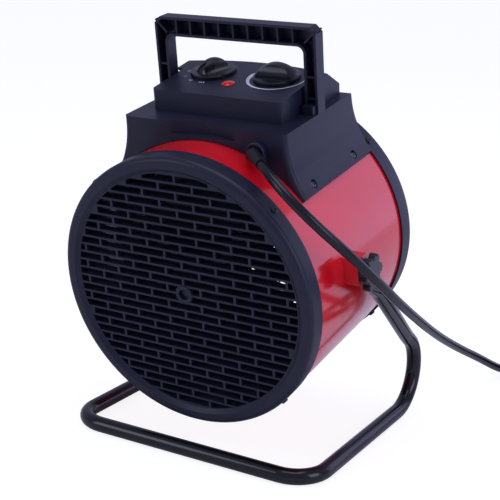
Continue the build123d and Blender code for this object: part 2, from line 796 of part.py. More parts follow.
def control_box(inset):
    """The raised box with the sloping panel on top."""
    low = ledge_height - saddle_overlap
    top = rear_edge_height + rear_slope_drop
    half = rear_half_width - inset
    wall_back = rear_wall_y - inset
    lean = (wall_back - rear_top_y) / rear_slope_drop
    front = box_front + inset
    side_back = wall_back - rear_wall_bow
    base_plan = box_plan(half, front, side_back, rear_wall_bow)
    upright = extrude(Plane.XY.offset(low) * base_plan, rear_wall_height - low)
    crown_back = side_back - (top - rear_wall_height) * lean
    crown = loft([
        Plane.XY.offset(rear_wall_height) * base_plan,
        Plane.XY.offset(top) * box_plan(half, front, crown_back, 2 * rear_bow),
    ], ruled=True)
    body = upright + crown
    above = make_face(
        Polyline(
            (-beyond, panel_height(-beyond) - inset),
            (beyond, panel_height(beyond) - inset),
            (beyond, panel_height(beyond) + beyond),
            (-beyond, panel_height(beyond) + beyond),
            close=True,
        )
    )
    body = body - extrude(Plane.YZ * above, beyond, both=True)
    narrow = box_half_width - inset
    shoulder_y = rear_shoulder_y + inset
    shoulder_top_y = rear_shoulder_top_y + inset
    bend = rear_wall_height
    cut = make_face(
        Wire([
            Line((front - 10, low - 1), (shoulder_y, low - 1)),
            Line((shoulder_y, low - 1), (shoulder_y, bend)),
            ThreePointArc(
                (shoulder_y, bend),
                (shoulder_y - shoulder_bulge, bend + shoulder_rise * 0.65),
                (shoulder_top_y, bend + shoulder_rise),
            ),
            Line((shoulder_top_y, bend + shoulder_rise), (shoulder_top_y - 6, top)),
            Line((shoulder_top_y - 6, top), (front - 10, top)),
            Line((front - 10, top), (front - 10, low - 1)),
        ])
    )
    side = extrude(Plane.YZ * cut, beyond)
    body = body - Pos(narrow, 0, 0) * side
    return body - Pos(-narrow - beyond, 0, 0) * side


def scoop(grow):
    """The finger scoop in the front edge of the ledge."""
    centre_y = housing_front + scoop_depth - scoop_plan_radius
    tool = Pos(0, centre_y, 0) * Cylinder(
        scoop_plan_radius + grow, beyond, align=(Align.CENTER, Align.CENTER, Align.MIN)
    )
    tool = Pos(0, 0, scoop_floor - grow) * tool
    return tool & block(
        -scoop_half_width - grow, scoop_half_width + grow, -beyond, 0, scoop_floor - grow, beyond
    )


def cord_boss():
    """The hood that the cord leaves from: a round-topped boss with a recessed arch."""
    front = housing_front - boss_reach
    back = housing_front + boss_root
    hood = rod(boss_radius, (boss_x, front, boss_axis_height), (boss_x, back, boss_axis_height))
    hood = hood + block(
        boss_x - boss_radius, boss_x + boss_radius, front, back, boss_axis_height - boss_foot, boss_axis_height
    )
    return fillet(hood.edges().group_by(Axis.Y)[0].filter_by(GeomType.CIRCLE), 1.5)


def control_housing():
    """One moulding: flared saddle, control box, finger scoop and cord boss."""
    body = saddle(0) + control_box(0)
    edges = [
        e for e in body.edges().filter_by(Axis.Z)
        if abs(e.center().Y - box_front) < 0.1 and e.center().Z > ledge_height
    ]
    body = fillet(edges, corner_round)
    body = body - scoop(0) + cord_boss()
    cavity = saddle(housing_wall) + control_box(housing_wall)
    cavity = cavity - scoop(housing_wall)
    body = body - cavity
    body = body - rod(housing_inner_radius, (0, -beyond, 0), (0, beyond, 0))
    socket = rod(
        boss_socket_radius,
        (boss_x, housing_front - boss_reach - 1, boss_axis_height),
        (boss_x, housing_front + housing_wall + 8, boss_axis_height),
    )
    body = body - socket
    seat = flange_thickness - 1.0 + housing_inner_radius
    for angle in (-housing_screw_angle, housing_screw_angle):
        for y in housing_screw_ys:
            body = body - radial_rod(4.6, angle, y, seat, seat + 14)
            body = body - radial_rod(screw_hole_radius, angle, y, shell_radius - 1, seat + 1)
    for x, y, radius in (
        (selector_x, selector_y, knob_shaft_radius + 1.5),
        (thermostat_x, thermostat_y, knob_shaft_radius + 1.5),
        (neon_x, neon_y, neon_stem_radius + 0.1),
    ):
        plane = panel_plane(x, y)
        body = body - plane * Cylinder(radius, 12)
    for side in (-1, 1):
        x, y = foot_screw_place(side)
        body = body - rod(screw_hole_radius, (x, y, ledge_height - 6), (x, y, ledge_height + 1))
    return body


def housing_screws():
    """Two screws on each flange."""
    seat = flange_thickness - 1.0 + housing_inner_radius
    return group(
        radial_screw(angle, y, seat + 0.02, 10.0)
        for angle in (-housing_screw_angle, housing_screw_angle)
        for y in housing_screw_ys
    )


def rotary_switch():
    """The power switch under the panel, with a bush for the selector shaft."""
    plane = panel_plane(selector_x, selector_y)
    depth = housing_wall + 0.1
    body = plane * Pos(0, 0, -depth - 10) * Box(30, 28, 20)
    bush = plane * Pos(0, 0, -depth / 2) * Cylinder(knob_shaft_radius + 1.4, depth)
    bore = plane * Pos(0, 0, -depth - 4) * Cylinder(knob_shaft_radius + running_fit, 2 * depth + 12)
    return body + bush - bore


def thermostat_body():
    """The room thermostat under the panel: a cased bellows with a bush and two tabs."""
    plane = panel_plane(thermostat_x, thermostat_y)
    depth = housing_wall + 0.1
    body = plane * Pos(0, 0, -depth - 8) * Box(34, 26, 16)
    bellows = plane * Pos(0, 0, -depth - 19) * Cylinder(9, 6)
    bush = plane * Pos(0, 0, -depth / 2) * Cylinder(knob_shaft_radius + 1.4, depth)
    bore = plane * Pos(0, 0, -depth - 4) * Cylinder(knob_shaft_radius + running_fit, 2 * depth + 12)
    return body + bellows + bush - bore


def knob_shaft(x, y):
    """A round control shaft that turns in its bush and fills the knob's bore."""
    plane = panel_plane(x, y)
    low = -housing_wall - knob_shaft_depth
    high = knob_to_panel + knob_shaft_depth
    return plane * Pos(0, 0, (low + high) / 2) * Cylinder(knob_shaft_radius, high - low)


def knob_bore(plane):
    """The blind hole in the underside of a knob."""
    depth = knob_shaft_depth + 0.1
    place = plane * Pos(0, 0, knob_to_panel + depth / 2 - 0.05)
    return place * Cylinder(knob_shaft_radius + 0.02, depth)


def winged_knob(plane, turn, skirt_radius, skirt_height, bare_rim, grip_height, grip_top):
    """A round skirt with an arched grip across it, whose flanks sweep in to a narrow crest."""
    skirt = Pos(0, 0, skirt_height / 2) * Cylinder(skirt_radius, skirt_height)
    skirt = chamfer(skirt.edges().group_by(Axis.Z)[-1], 0.9)
    rim = skirt_radius - bare_rim
    low = skirt_height - 0.4
    crown = skirt_height + grip_height
    dome = Pos(0, 0, low) * cap(rim, crown - low)
    half_top = grip_top / 2
    half_base = rim * knob_flank
    middle = ((half_top + half_base) * 0.42, low + (crown - low) * 0.36)
    right = [
        Line((0, crown + 1), (half_top, crown + 1)),
        ThreePointArc((half_top, crown + 1), middle, (half_base, low)),
        Line((half_base, low), (0, low)),
        Line((0, low), (0, crown + 1)),
    ]
    flank = make_face(right)
    flank = flank + mirror(flank, Plane.YZ)
    ridge = extrude(Plane.YZ * flank, skirt_radius, both=True)
    knob = Pos(0, 0, knob_to_panel) * (skirt + (dome & ridge))
    return plane * Rot(Z=turn) * knob - knob_bore(plane)


def selector_knob():
    """The power selector, switched off."""
    return winged_knob(
        panel_plane(selector_x, selector_y),
        selector_rest_turn,
        selector_skirt_radius,
        selector_skirt_height,
        selector_rim,
        selector_grip_height,
        selector_grip_top,
    )


def thermostat_knob():
    """The room thermostat's knob, at its lowest setting."""
    return winged_knob(
        panel_plane(thermostat_x, thermostat_y),
        thermostat_rest_turn,
        thermostat_base_radius,
        thermostat_base_height,
        thermostat_rim,
        thermostat_dome_height,
        thermostat_grip_top,
    )


def cap(radius, height):
    """A slice of a ball that stands on z = 0."""
    ball = (radius ** 2 + height ** 2) / (2 * height)
    return Pos(0, 0, height - ball) * Sphere(ball) & block(-ball, ball, -ball, ball, 0, height + 1)


def neon_lens():
    """The red lens of the pilot lamp: a low dome on a stem through the panel."""
    plane = panel_plane(neon_x, neon_y)
    lift = 0.02
    edge = 0.8
    flange = Pos(0, 0, lift + edge / 2) * Cylinder(neon_radius, edge)
    dome = Pos(0, 0, lift + edge) * cap(neon_radius, neon_height - edge)
    stem = Pos(0, 0, lift - neon_stem_length / 2) * Cylinder(neon_stem_radius, neon_stem_length)
    return plane * (flange + dome + stem)


def terminal_block():
    """The screw terminals where the cord's wires end, on top of the shell."""
    base = shell_radius + 0.05
    y0 = box_front - 8
    body = block(-21, 21, y0, y0 + 13, base, base + 11)
    for k in range(4):
        x = -15.75 + 10.5 * k
        body = body - rod(2.4, (x, y0 + 6.5, base + 6), (x, y0 + 6.5, base + 12))
    return body


# ---- handle ---------------------------------------------------------------------------------------------
def foot_screw_place(side):
    """Where the screw comes up through the ledge into a handle leg."""
    return side * (handle_half_width - handle_leg + 3.6), handle_front + foot_screw_inset - 1.5


def carry_handle():
    """A channel-section bow, open towards the intake, with ribs across the channel."""
    low = ledge_height + 0.02
    inner_half = handle_half_width - handle_leg
    beam_low = handle_top - handle_beam
    back = handle_front + handle_depth
    outer = block(-handle_half_width, handle_half_width, handle_front, back, low, handle_top)
    corners = outer.edges().filter_by(Axis.Y).sort_by(Axis.Z)[2:]
    outer = chamfer(corners, handle_outer_chamfer)
    inner = block(-inner_half, inner_half, handle_front - 1, back + 1, low - 1, beam_low)
    inner = fillet(inner.edges().filter_by(Axis.Y).sort_by(Axis.Z)[2:], handle_inner_round)
    bow = outer - inner

    wall = handle_wall
    web_y = back - wall
    shape = block(
        -handle_half_width + wall, handle_half_width - wall, handle_front - 1, web_y, low + 9, handle_top - wall
    )
    shape = chamfer(shape.edges().filter_by(Axis.Y).sort_by(Axis.Z)[2:], handle_outer_chamfer - 1)
    core = block(-inner_half - wall, inner_half + wall, handle_front - 2, back, low - 2, beam_low + wall)
    core = fillet(core.edges().filter_by(Axis.Y).sort_by(Axis.Z)[2:], handle_inner_round + wall)
    bow = bow - (shape - core)

    half_rib = rib_thickness / 2
    front = handle_front + 1.0
    for k in range(beam_rib_count):
        x = (k - (beam_rib_count - 1) / 2) * beam_rib_pitch
        bow = bow + block(x - half_rib, x + half_rib, front, back - 1, beam_low + 1, handle_top - 1)
    for side in (-1, 1):
        x0 = inner_half + 1
        x1 = handle_half_width - 1
        for k in (1, 2):
            z = beam_low - 8 - leg_rib_pitch * k
            bow = bow + block(min(side * x0, side * x1), max(side * x0, side * x1),
                              front, back - 1, z - half_rib, z + half_rib)
        middle_x = side * (inner_half + handle_leg / 2)
        middle_z = handle_top - handle_beam / 2
        brace = Pos(middle_x, (front + back - 1) / 2, middle_z) * Rot(Y=-side * 45)
        brace_length = handle_leg * 1.32
        bow = bow + brace * Box(brace_length, back - 1 - front, rib_thickness)
        foot_x = (side * inner_half, side * (inner_half + foot_width))
        bow = bow + block(min(foot_x), max(foot_x), handle_front + 1 - foot_length / 2, web_y + 1,
                          low, ledge_height + foot_height)
        x, y = foot_screw_place(side)
        bow = bow - rod(screw_radius + 0.05, (x, y, low - 1), (x, y, low + foot_height - 2.5))
    return bow


def handle_screws():
    """One screw up into each leg from inside the housing."""
    screws = []
    for side in (-1, 1):
        x, y = foot_screw_place(side)
        seat = ledge_height - housing_wall - 0.02
        head = rod(screw_head_radius, (x, y, seat - screw_head_height), (x, y, seat))
        screws.append(head + rod(screw_radius, (x, y, seat), (x, y, ledge_height + foot_height - 3)))
    return group(screws)


# ---- tilt pivot -----------------------------------------------------------------------------------------
def pivot_bracket(side):
    """A folded box welded to the drum; its outer wall carries the clamp stud."""
    y0 = pivot_y - pivot_bracket_front
    y1 = pivot_y + pivot_bracket_back
    z0 = pivot_z - pivot_bracket_down
    z1 = pivot_z + pivot_bracket_up
    wall = pivot_bracket_wall
    outer = block(shell_radius - 12, pivot_bracket_face, y0, y1, z0, z1)
    outer = fillet(outer.edges().filter_by(Axis.X), 2.5)
    inner = block(shell_radius - 13, pivot_bracket_face - wall, y0 + wall, y1 - wall, z0 + wall, z1 - wall)
    box = outer - inner - rod(shell_radius + 0.03, (0, y0 - 5, 0), (0, y1 + 5, 0))
    hole_start = (pivot_bracket_face - 5, pivot_y, pivot_z)
    box = box - rod(stud_radius + stud_fit + 0.1, hole_start, (pivot_bracket_face + 1, pivot_y, pivot_z))
    return box if side > 0 else mirror(box, Plane.YZ)


def both_sides(shape):
    """A right-hand piece and its mirror image in one node."""
    return group([shape, mirror(shape, Plane.YZ)])


def pivot_nuts():
    """Nuts welded behind the outer wall of each bracket."""
    x = pivot_bracket_face - pivot_bracket_wall - 0.02
    base = Plane(origin=(x, pivot_y, pivot_z), x_dir=(0, 1, 0), z_dir=(-1, 0, 0))
    return both_sides(hex_nut(nut_width, nut_height, bearing_radius, base))


def pivot_washers():
    """Fibre washers between each bracket and the stand."""
    start = (pivot_bracket_face + 0.01, pivot_y, pivot_z)
    end = (pivot_bracket_face + washer_thickness, pivot_y, pivot_z)
    washer = rod(washer_radius, start, end) - rod(bearing_radius + 0.1, start, end)
    return both_sides(washer)


def clamp_knob(side):
    """The lobed knob that clamps the tilt."""
    x0 = knob_inner_x
    plane = Plane(origin=(x0, pivot_y, pivot_z), x_dir=(0, 1, 0), z_dir=(1, 0, 0))
    lobe_centre = clamp_knob_radius - clamp_knob_lobe_radius
    outline = Circle(lobe_centre + 1.0)
    for k in range(clamp_knob_lobes):
        a = 2 * pi * k / clamp_knob_lobes
        outline = outline + Pos(lobe_centre * cos(a), lobe_centre * sin(a)) * Circle(clamp_knob_lobe_radius)
    knob = extrude(plane * outline, clamp_knob_thickness)
    knob = chamfer(knob.faces().sort_by(Axis.X)[-1].edges(), 1.2)
    knob = knob - rod(stud_radius + 0.02, (x0 - 1, pivot_y, pivot_z), (x0 + 5.1, pivot_y, pivot_z))
    return knob if side > 0 else mirror(knob, Plane.YZ)


def clamp_stud(side):
    """The steel stud of the knob: it runs through the stand and the bracket into the nut."""
    start = pivot_bracket_face - pivot_bracket_wall - nut_height - 1.5
    stud = rod(stud_radius, (start, pivot_y, pivot_z), (knob_inner_x + 5, pivot_y, pivot_z))
    return stud if side > 0 else mirror(stud, Plane.YZ)


# ---- stand ----------------------------------------------------------------------------------------------
def stand_points():
    """Corners of the right half of the tube's centreline, from the flat end to the front bar."""
    pivot = level_point(0, pivot_y, pivot_z)
    slope = radians(upright_slope)
    floor_line = tube_radius - drum_height
    bend_z = floor_line + rear_bend_radius
    tangent_y = rear_bend_y + rear_bend_radius * sin(slope)
    tangent_z = bend_z + rear_bend_radius * cos(slope)
    corner_y = tangent_y + (tangent_z - floor_line) / tan(slope)
    flat_x = pivot_plate_x + flat_thickness / 2
    along = (cos(slope), -sin(slope))

    def on_upright(x, distance):
        return (x, pivot[1] + along[0] * distance, pivot[2] + along[1] * distance)

    reach = hypot(tangent_y - pivot[1], tangent_z - pivot[2])
    blend_end = flat_length + flat_blend
    fall = (flat_x - stand_half_width) / reach
    return {
        "pivot": on_upright(flat_x, 0),
        "flat_end": on_upright(flat_x, flat_length),
        "round_start": on_upright(flat_x - fall * blend_end, blend_end),
        "knee": on_upright(stand_half_width, reach - upright_straight),
        "rear": (stand_half_width, corner_y, floor_line),
        "front": (stand_half_width, front_bar_y, floor_line),
    }


def flat_end():
    """The flattened end of the tube, with the pivot hole and the swelling out to the full tube."""
    p = stand_points()
    pivot = Vector(*p["pivot"])
    along = (Vector(*p["flat_end"]) - pivot).normalized()
    start = Plane(origin=pivot, x_dir=(1, 0, 0), z_dir=along)
    plate = extrude(start * Rectangle(flat_thickness, 2 * flat_half_width), flat_length)
    half = flat_thickness / 2
    disc = rod(flat_half_width, (pivot.X - half, pivot.Y, pivot.Z), (pivot.X + half, pivot.Y, pivot.Z))
    round_start = Vector(*p["round_start"])
    knee = Vector(*p["knee"])
    far = Plane(origin=round_start, x_dir=(1, 0, 0), z_dir=knee - round_start)
    near = Plane(origin=Vector(*p["flat_end"]), x_dir=(1, 0, 0), z_dir=along)
    squashed = near * RectangleRounded(flat_thickness, 2 * flat_half_width, flat_thickness * 0.45)
    swelling = loft([squashed, far * RectangleRounded(
        2 * tube_radius, 2 * tube_radius, tube_radius * 0.98)], ruled=True)
    hole = rod(bearing_radius, (pivot.X - 10, pivot.Y, pivot.Z), (pivot.X + 10, pivot.Y, pivot.Z))
    return disc + plate + swelling - hole


def stand_tube():
    """One bent tube: two flat ends, uprights, rear bends, runners and the front bar."""
    p = stand_points()
    right = [p["round_start"], p["knee"], p["rear"], p["front"]]
    left = [(-x, y, z) for x, y, z in reversed(right)]
    bends = [upright_bend_radius, rear_bend_radius, front_bend_radius]
    bends = bends + bends[::-1]
    path = FilletPolyline(*right, *left, radius=bends)
    start = Vector(*right[0])
    section_plane = Plane(origin=start, x_dir=(1, 0, 0), z_dir=path % 0)
    tube = sweep(section_plane * Circle(tube_radius), path=path)
    core = sweep(section_plane * Circle(tube_radius - tube_wall), path=path)
    tube = tube - core
    end = flat_end()
    floor_line = tube_radius - drum_height
    for side in (-1, 1):
        x = side * stand_half_width
        y = rear_bend_y - vent_setback
        vent = rod(vent_radius, (x, y, floor_line - tube_radius - 1), (x, y, floor_line))
        tube = tube - vent
    return tube + end + mirror(end, Plane.YZ)


# ---- cord and plug --------------------------------------------------------------------------------------
def in_level_frame(point):
    """A point of the tilted drum in the level frame on the floor."""
    x, y, z = level_point(*point)
    return Vector(x, y + origin_y, z + drum_height)


def cord_gland():
    """The rubber sleeve that steers the cord out of its boss."""
    sleeve = cone(gland_root_radius, gland_tip_radius, gland_start, gland_end)
    root = Pos(*gland_start) * Sphere(gland_root_radius)
    neck = rod(gland_root_radius, gland_start, (boss_x, housing_front + 8, boss_axis_height))
    return sleeve + root + neck


def cord_points():
    """The free cord's route: out of the gland, along the chosen points and into the coil."""
    start = in_level_frame(gland_start)
    end = in_level_frame(gland_end)
    out = (end - start).normalized()
    heading = radians(coil_heading)
    into = Vector(cos(heading), sin(heading), 0)
    coil = Vector(coil_start[0], coil_start[1], cord_radius + floor_lift)
    middle = [Vector(*point) for point in cord_route]
    return [end, end + out * 16] + middle + [coil - into * 9.5, coil]


def bend_radii(points):
    """The largest tangent arcs that the runs of a route allow."""
    radii = []
    for before, corner, after in zip(points, points[1:], points[2:]):
        a = corner - before
        b = after - corner
        turn = radians(a.get_angle(b))
        radii.append(0.45 * min(a.length, b.length) / tan(turn / 2))
    return radii


def cord_lead():
    """The free cord as a plain tube of straight runs and tangent arcs."""
    points = cord_points()
    radii = bend_radii(points)
    path = FilletPolyline(*points, radius=radii)
    section = Plane(origin=points[0], z_dir=points[1] - points[0]) * Circle(cord_radius)
    lead = sweep(section, path=path)
    ideal = pi * cord_radius ** 2 * path.length
    print("cord bend radii", [round(r) for r in radii])
    print("cord lead length", round(path.length, 1), "volume share", round(lead.volume / ideal, 4))
    return lead


def coil_arcs():
    """Half turns of the coil as (start, middle, end): in on the floor, up one layer, and out again."""
    heading = radians(coil_heading)
    ahead = Vector(cos(heading), sin(heading), 0)
    inward = Vector(sin(heading), -cos(heading), 0)
    low = cord_radius + floor_lift
    step = coil_pitch / 2
    layer = [coil_outer_radius - k * step for k in range(coil_half_turns)]
    climb = coil_outer_radius - coil_half_turns * step
    radii = layer + [climb] + layer[::-1]
    point = Vector(coil_start[0], coil_start[1], low) + ahead * cord_diameter
    side = 1
    arcs = []
    for k, radius in enumerate(radii):
        rise = coil_pitch if k == coil_half_turns else 0.0
        end = point + inward * (side * 2 * radius) + Vector(0, 0, rise)
        swing = hypot(2 * radius, rise) / 2
        middle = (point + end) * 0.5 + ahead * (side * swing)
        arcs.append((point, middle, end))
        point = end
        side = -side
    return arcs


def tail_arcs():
    """Two gentle bends that lift the cord's end to the axis of the plug lying on the floor."""
    arcs = coil_arcs()
    start = arcs[-1][2]
    side = 1 if len(arcs) % 2 == 0 else -1
    heading = radians(coil_heading)
    ahead = Vector(cos(heading), sin(heading), 0) * side
    up = Vector(0, 0, 1)
    rise = plug_face_radius - start.Z
    turn = acos_of(1 - rise / (2 * tail_bend_radius))
    points = [start]
    for part in (0.5, 1.0):
        angle = turn * part
        points.append(start + ahead * (tail_bend_radius * sin(angle)) + up * (tail_bend_radius * (1 - cos(angle))))
    end = start + ahead * (2 * tail_bend_radius * sin(turn)) + up * rise
    half = end - ahead * (tail_bend_radius * sin(turn / 2)) - up * (tail_bend_radius * (1 - cos(turn / 2)))
    return [(points[0], points[1], points[2]), (points[2], half, end)], ahead


def acos_of(value):
    """The angle, in radians, whose cosine is value."""
    return atan2(sqrt(1 - value * value), value)


def cord_coil():
    """The put-away length: one unbroken tube in two layers."""
    arcs = coil_arcs()
    tail, ahead = tail_arcs()
    heading = radians(coil_heading)
    into = Vector(cos(heading), sin(heading), 0)
    first = arcs[0][0]
    last = tail[-1][2]
    edges = [Line(first - into * cord_diameter, first)]
    edges += [ThreePointArc(*arc) for arc in arcs + tail]
    edges.append(Line(last, last + ahead * cord_diameter))
    path = Wire(edges)
    section = Plane(origin=first - into * cord_diameter, z_dir=into) * Circle(cord_radius)
    coil = sweep(section, path=path)
    print("coil length", round(path.length, 1), "least gap", round(least_gap(path), 2))
    print("coil volume share", round(coil.volume / (pi * cord_radius ** 2 * path.length), 4))
    return coil


def least_gap(path):
    """The smallest free space between different turns of the coil, on sampled points."""
    count = 600
    points = [path @ (k / count) for k in range(count + 1)]
    apart = int(count * 4 * cord_diameter / path.length)
    least = 1e9
    for i in range(0, count + 1, 2):
        for j in range(i + apart, count + 1, 2):
            least = min(least, (points[i] - points[j]).length)
    return least - cord_diameter


def coil_tie():
    """A strap round both layers of the coil."""
    heading = radians(coil_heading)
    ahead = Vector(cos(heading), sin(heading), 0)
    first = coil_arcs()[0]
    centre = (first[0] + first[2]) * 0.5
    inner_r = coil_outer_radius - coil_pitch - cord_radius - tie_inner_gap
    outer_r = coil_outer_radius + cord_radius + tie_side_gap
    low = floor_lift - tie_gap
    high = floor_lift + coil_pitch + cord_diameter + tie_gap
    middle = centre + ahead * ((inner_r + outer_r) / 2)
    plane = Plane(origin=(middle.X, middle.Y, (low + high) / 2), x_dir=ahead, z_dir=(ahead.Y, -ahead.X, 0))
    width = outer_r - inner_r
    height = high - low
    outside = RectangleRounded(width + 2 * tie_strap, height + 2 * tie_strap, 4.0)
    inside = RectangleRounded(width, height, 4.0 - tie_strap)
    return extrude(plane * (outside - inside), tie_width / 2, both=True)


def plug_axis():
    """The start of the plug and the way that its pins point."""
    tail, ahead = tail_arcs()
    return tail[-1][2] + ahead * cord_diameter, ahead


def pin_offsets(ahead):
    """The two pins lie side by side."""
    across_pins = Vector(-ahead.Y, ahead.X, 0)
    return [across_pins * (pin_spacing / 2), across_pins * (-pin_spacing / 2)]


def plug_body():
    """A plain round plug: a ribbed neck, a waisted grip and a round face."""
    start, ahead = plug_axis()
    plane = Plane(origin=start, z_dir=ahead)
    grip_start = plug_neck_length
    face_start = grip_start + plug_grip_length
    end = face_start + plug_face_length
    profile = make_face(
        Wire([
            Line((0, 0), (cord_radius + 0.7, 0)),
            Line((cord_radius + 0.7, 0), (plug_grip_radius * 0.66, grip_start)),
            Line((plug_grip_radius * 0.66, grip_start), (plug_grip_radius, grip_start + 3)),
            ThreePointArc(
                (plug_grip_radius, grip_start + 3),
                (plug_grip_radius * 0.94, (grip_start + face_start) / 2),
                (plug_grip_radius * 1.2, face_start - 1),
            ),
            Line((plug_grip_radius * 1.2, face_start - 1), (plug_face_radius, face_start + 1)),
            Line((plug_face_radius, face_start + 1), (plug_face_radius, end)),
            Line((plug_face_radius, end), (0, end)),
            Line((0, end), (0, 0)),
        ])
    )
    body = plane * revolve(Plane.XZ * profile, Axis.Z)
    for offset in pin_offsets(ahead):
        face = start + ahead * end + offset
        body = body - rod(pin_stem_radius + 0.02, face - ahead * pin_stem_length, face + ahead)
    return body


def plug_pins():
    """Two round pins on thinner stems that are moulded into the plug."""
    start, ahead = plug_axis()
    end = plug_neck_length + plug_grip_length + plug_face_length
    pins = []
    for offset in pin_offsets(ahead):
        face = start + ahead * end + offset
        shoulder = face + ahead * pin_shoulder
        pin = rod(pin_radius, shoulder, shoulder + ahead * pin_length)
        stem = rod(pin_stem_radius, face - ahead * (pin_stem_length - 0.05), shoulder)
        pins.append(pin + stem)
    return group(pins)


# ---- every node -----------------------------------------------------------------------------------------
heater_nodes = {
    "intake_grille": intake_grille(),
    "drum_shell": drum_shell(),
    "outlet_ring": outlet_ring(),
    "outlet_guard": outlet_guard(),
    "intake_ring_screws": ring_screws(intake_screw_y),
    "outlet_ring_screws": ring_screws(outlet_screw_y),
    "heat_shield": heat_shield(),
    "shield_brackets": shield_brackets(),
    "motor_bracket": motor_bracket(),
    "fan_motor": fan_motor(),
    "motor_screws": motor_screws(),
    "motor_shaft": motor_shaft(),
    "fan_impeller": fan_impeller(),
    "fan_nut": fan_nut(),
    "front_element": heating_element(front_element_radius, front_element_y),
    "rear_element": heating_element(rear_element_radius, rear_element_y),
    "element_brackets": element_brackets(),
    "thermal_cutout": thermal_cutout(),
    "control_housing": control_housing(),
    "housing_screws": housing_screws(),
    "rotary_switch": rotary_switch(),
    "thermostat_body": thermostat_body(),
    "terminal_block": terminal_block(),
    "selector_knob": selector_knob(),
    "selector_shaft": knob_shaft(selector_x, selector_y),
    "thermostat_knob": thermostat_knob(),
    "thermostat_shaft": knob_shaft(thermostat_x, thermostat_y),
    "neon_lens": neon_lens(),
    "carry_handle": carry_handle(),
    "handle_screws": handle_screws(),
    "pivot_bracket_left": pivot_bracket(-1),
    "pivot_bracket_right": pivot_bracket(1),
    "pivot_nuts": pivot_nuts(),
    "pivot_washers": pivot_washers(),
    "clamp_knob_left": clamp_knob(-1),
    "clamp_knob_right": clamp_knob(1),
    "clamp_stud_left": clamp_stud(-1),
    "clamp_stud_right": clamp_stud(1),
    "cord_gland": cord_gland(),
}
level_nodes = {
    "cord_lead": cord_lead(),
    "cord_coil": cord_coil(),
    "coil_tie": coil_tie(),
    "plug_body": plug_body(),
    "plug_pins": plug_pins(),
}

lift = Pos(0, origin_y, drum_height)
nodes = {name: lift * Rot(X=rest_tilt) * shape for name, shape in heater_nodes.items()}
nodes["stand_tube"] = lift * stand_tube()
nodes.update(level_nodes)

os.makedirs("parts", exist_ok=True)
for name, shape in nodes.items():
    export_step(shape, f"parts/{name}.step")

print("origin y", round(origin_y, 3))
print("pivot", [round(v, 3) for v in in_level_frame((0, pivot_y, pivot_z))])
plug_start, plug_ahead = plug_axis()
print("plug start", plug_start, "ahead", plug_ahead)
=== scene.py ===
from math import acos, cos, pi, radians, sin, tan

import bmesh
import bpy
from mathutils import Matrix, Vector


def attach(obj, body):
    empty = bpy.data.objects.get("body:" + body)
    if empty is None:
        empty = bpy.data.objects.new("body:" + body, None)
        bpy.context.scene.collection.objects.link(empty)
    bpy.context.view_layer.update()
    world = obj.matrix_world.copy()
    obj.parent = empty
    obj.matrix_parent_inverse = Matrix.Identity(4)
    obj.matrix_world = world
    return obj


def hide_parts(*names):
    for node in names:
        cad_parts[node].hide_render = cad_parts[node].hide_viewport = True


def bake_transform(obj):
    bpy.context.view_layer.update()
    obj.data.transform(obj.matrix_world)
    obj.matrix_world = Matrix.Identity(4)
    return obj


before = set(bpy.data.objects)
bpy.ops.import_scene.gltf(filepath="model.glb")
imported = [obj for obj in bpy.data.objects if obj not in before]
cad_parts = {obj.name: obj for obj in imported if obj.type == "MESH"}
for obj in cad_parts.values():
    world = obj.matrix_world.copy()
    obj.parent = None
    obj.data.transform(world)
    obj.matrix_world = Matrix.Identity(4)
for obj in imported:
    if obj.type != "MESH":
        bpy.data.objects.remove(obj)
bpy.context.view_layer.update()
scene = bpy.context.scene


# ---- the view, the floor and the light ----------------------------------------------------------------
# The camera stands in front, to the right of the intake and a little above the handle, and looks down on
# the heater through a long lens. The floor is a plain white sweep under soft studio lights.

def aimed(piece, place, target):
    """Puts a light at a place and turns it to face a target."""
    piece.location = place
    piece.rotation_mode = "QUATERNION"
    piece.rotation_quaternion = (Vector(target) - Vector(place)).to_track_quat("-Z", "Y")
    scene.collection.objects.link(piece)


def softbox(name, place, target, width, height, watts, tint):
    """A rectangular studio light."""
    light = bpy.data.lights.new(name, "AREA")
    light.shape = "RECTANGLE"
    light.size = width
    light.size_y = height
    light.energy = watts
    light.color = tint
    aimed(bpy.data.objects.new(name, light), place, target)


def feed(tree, node, feeds):
    """Gives inputs of a node their values; a value may be the output of another node."""
    for label, value in feeds.items():
        if isinstance(value, bpy.types.NodeSocket):
            tree.links.new(value, node.inputs[label])
        else:
            node.inputs[label].default_value = value


def add(tree, kind, feeds=None, **settings):
    """A node in a tree, with some of its properties and inputs set."""
    node = tree.nodes.new(kind)
    for key, value in settings.items():
        setattr(node, key, value)
    feed(tree, node, feeds or {})
    return node


def maths(tree, operation, *values):
    """The result of a maths node on numbers or outputs."""
    return add(tree, "ShaderNodeMath", dict(enumerate(values)), operation=operation).outputs["Value"]


camera_right = Vector((0.8655, 0.5000, 0.0294)).normalized()
camera_ahead = Vector((-0.4760, 0.8392, -0.2631))
camera_up = camera_right.cross(camera_ahead).normalized()
camera_back = camera_right.cross(camera_up)
lens = bpy.data.cameras.new("studio_camera")
lens.lens = 85.54
lens.sensor_width = 36.0
lens.clip_end = 200.0
camera = bpy.data.objects.new("studio_camera", lens)
camera.rotation_mode = "QUATERNION"
turned = Matrix((camera_right, camera_up, camera_back)).transposed()
camera.rotation_quaternion = turned.to_quaternion()
camera.location = (0.5916, -1.0358, 0.5149)
scene.collection.objects.link(camera)
scene.camera = camera

scene.view_settings.view_transform = "Standard"
scene.view_settings.look = "None"

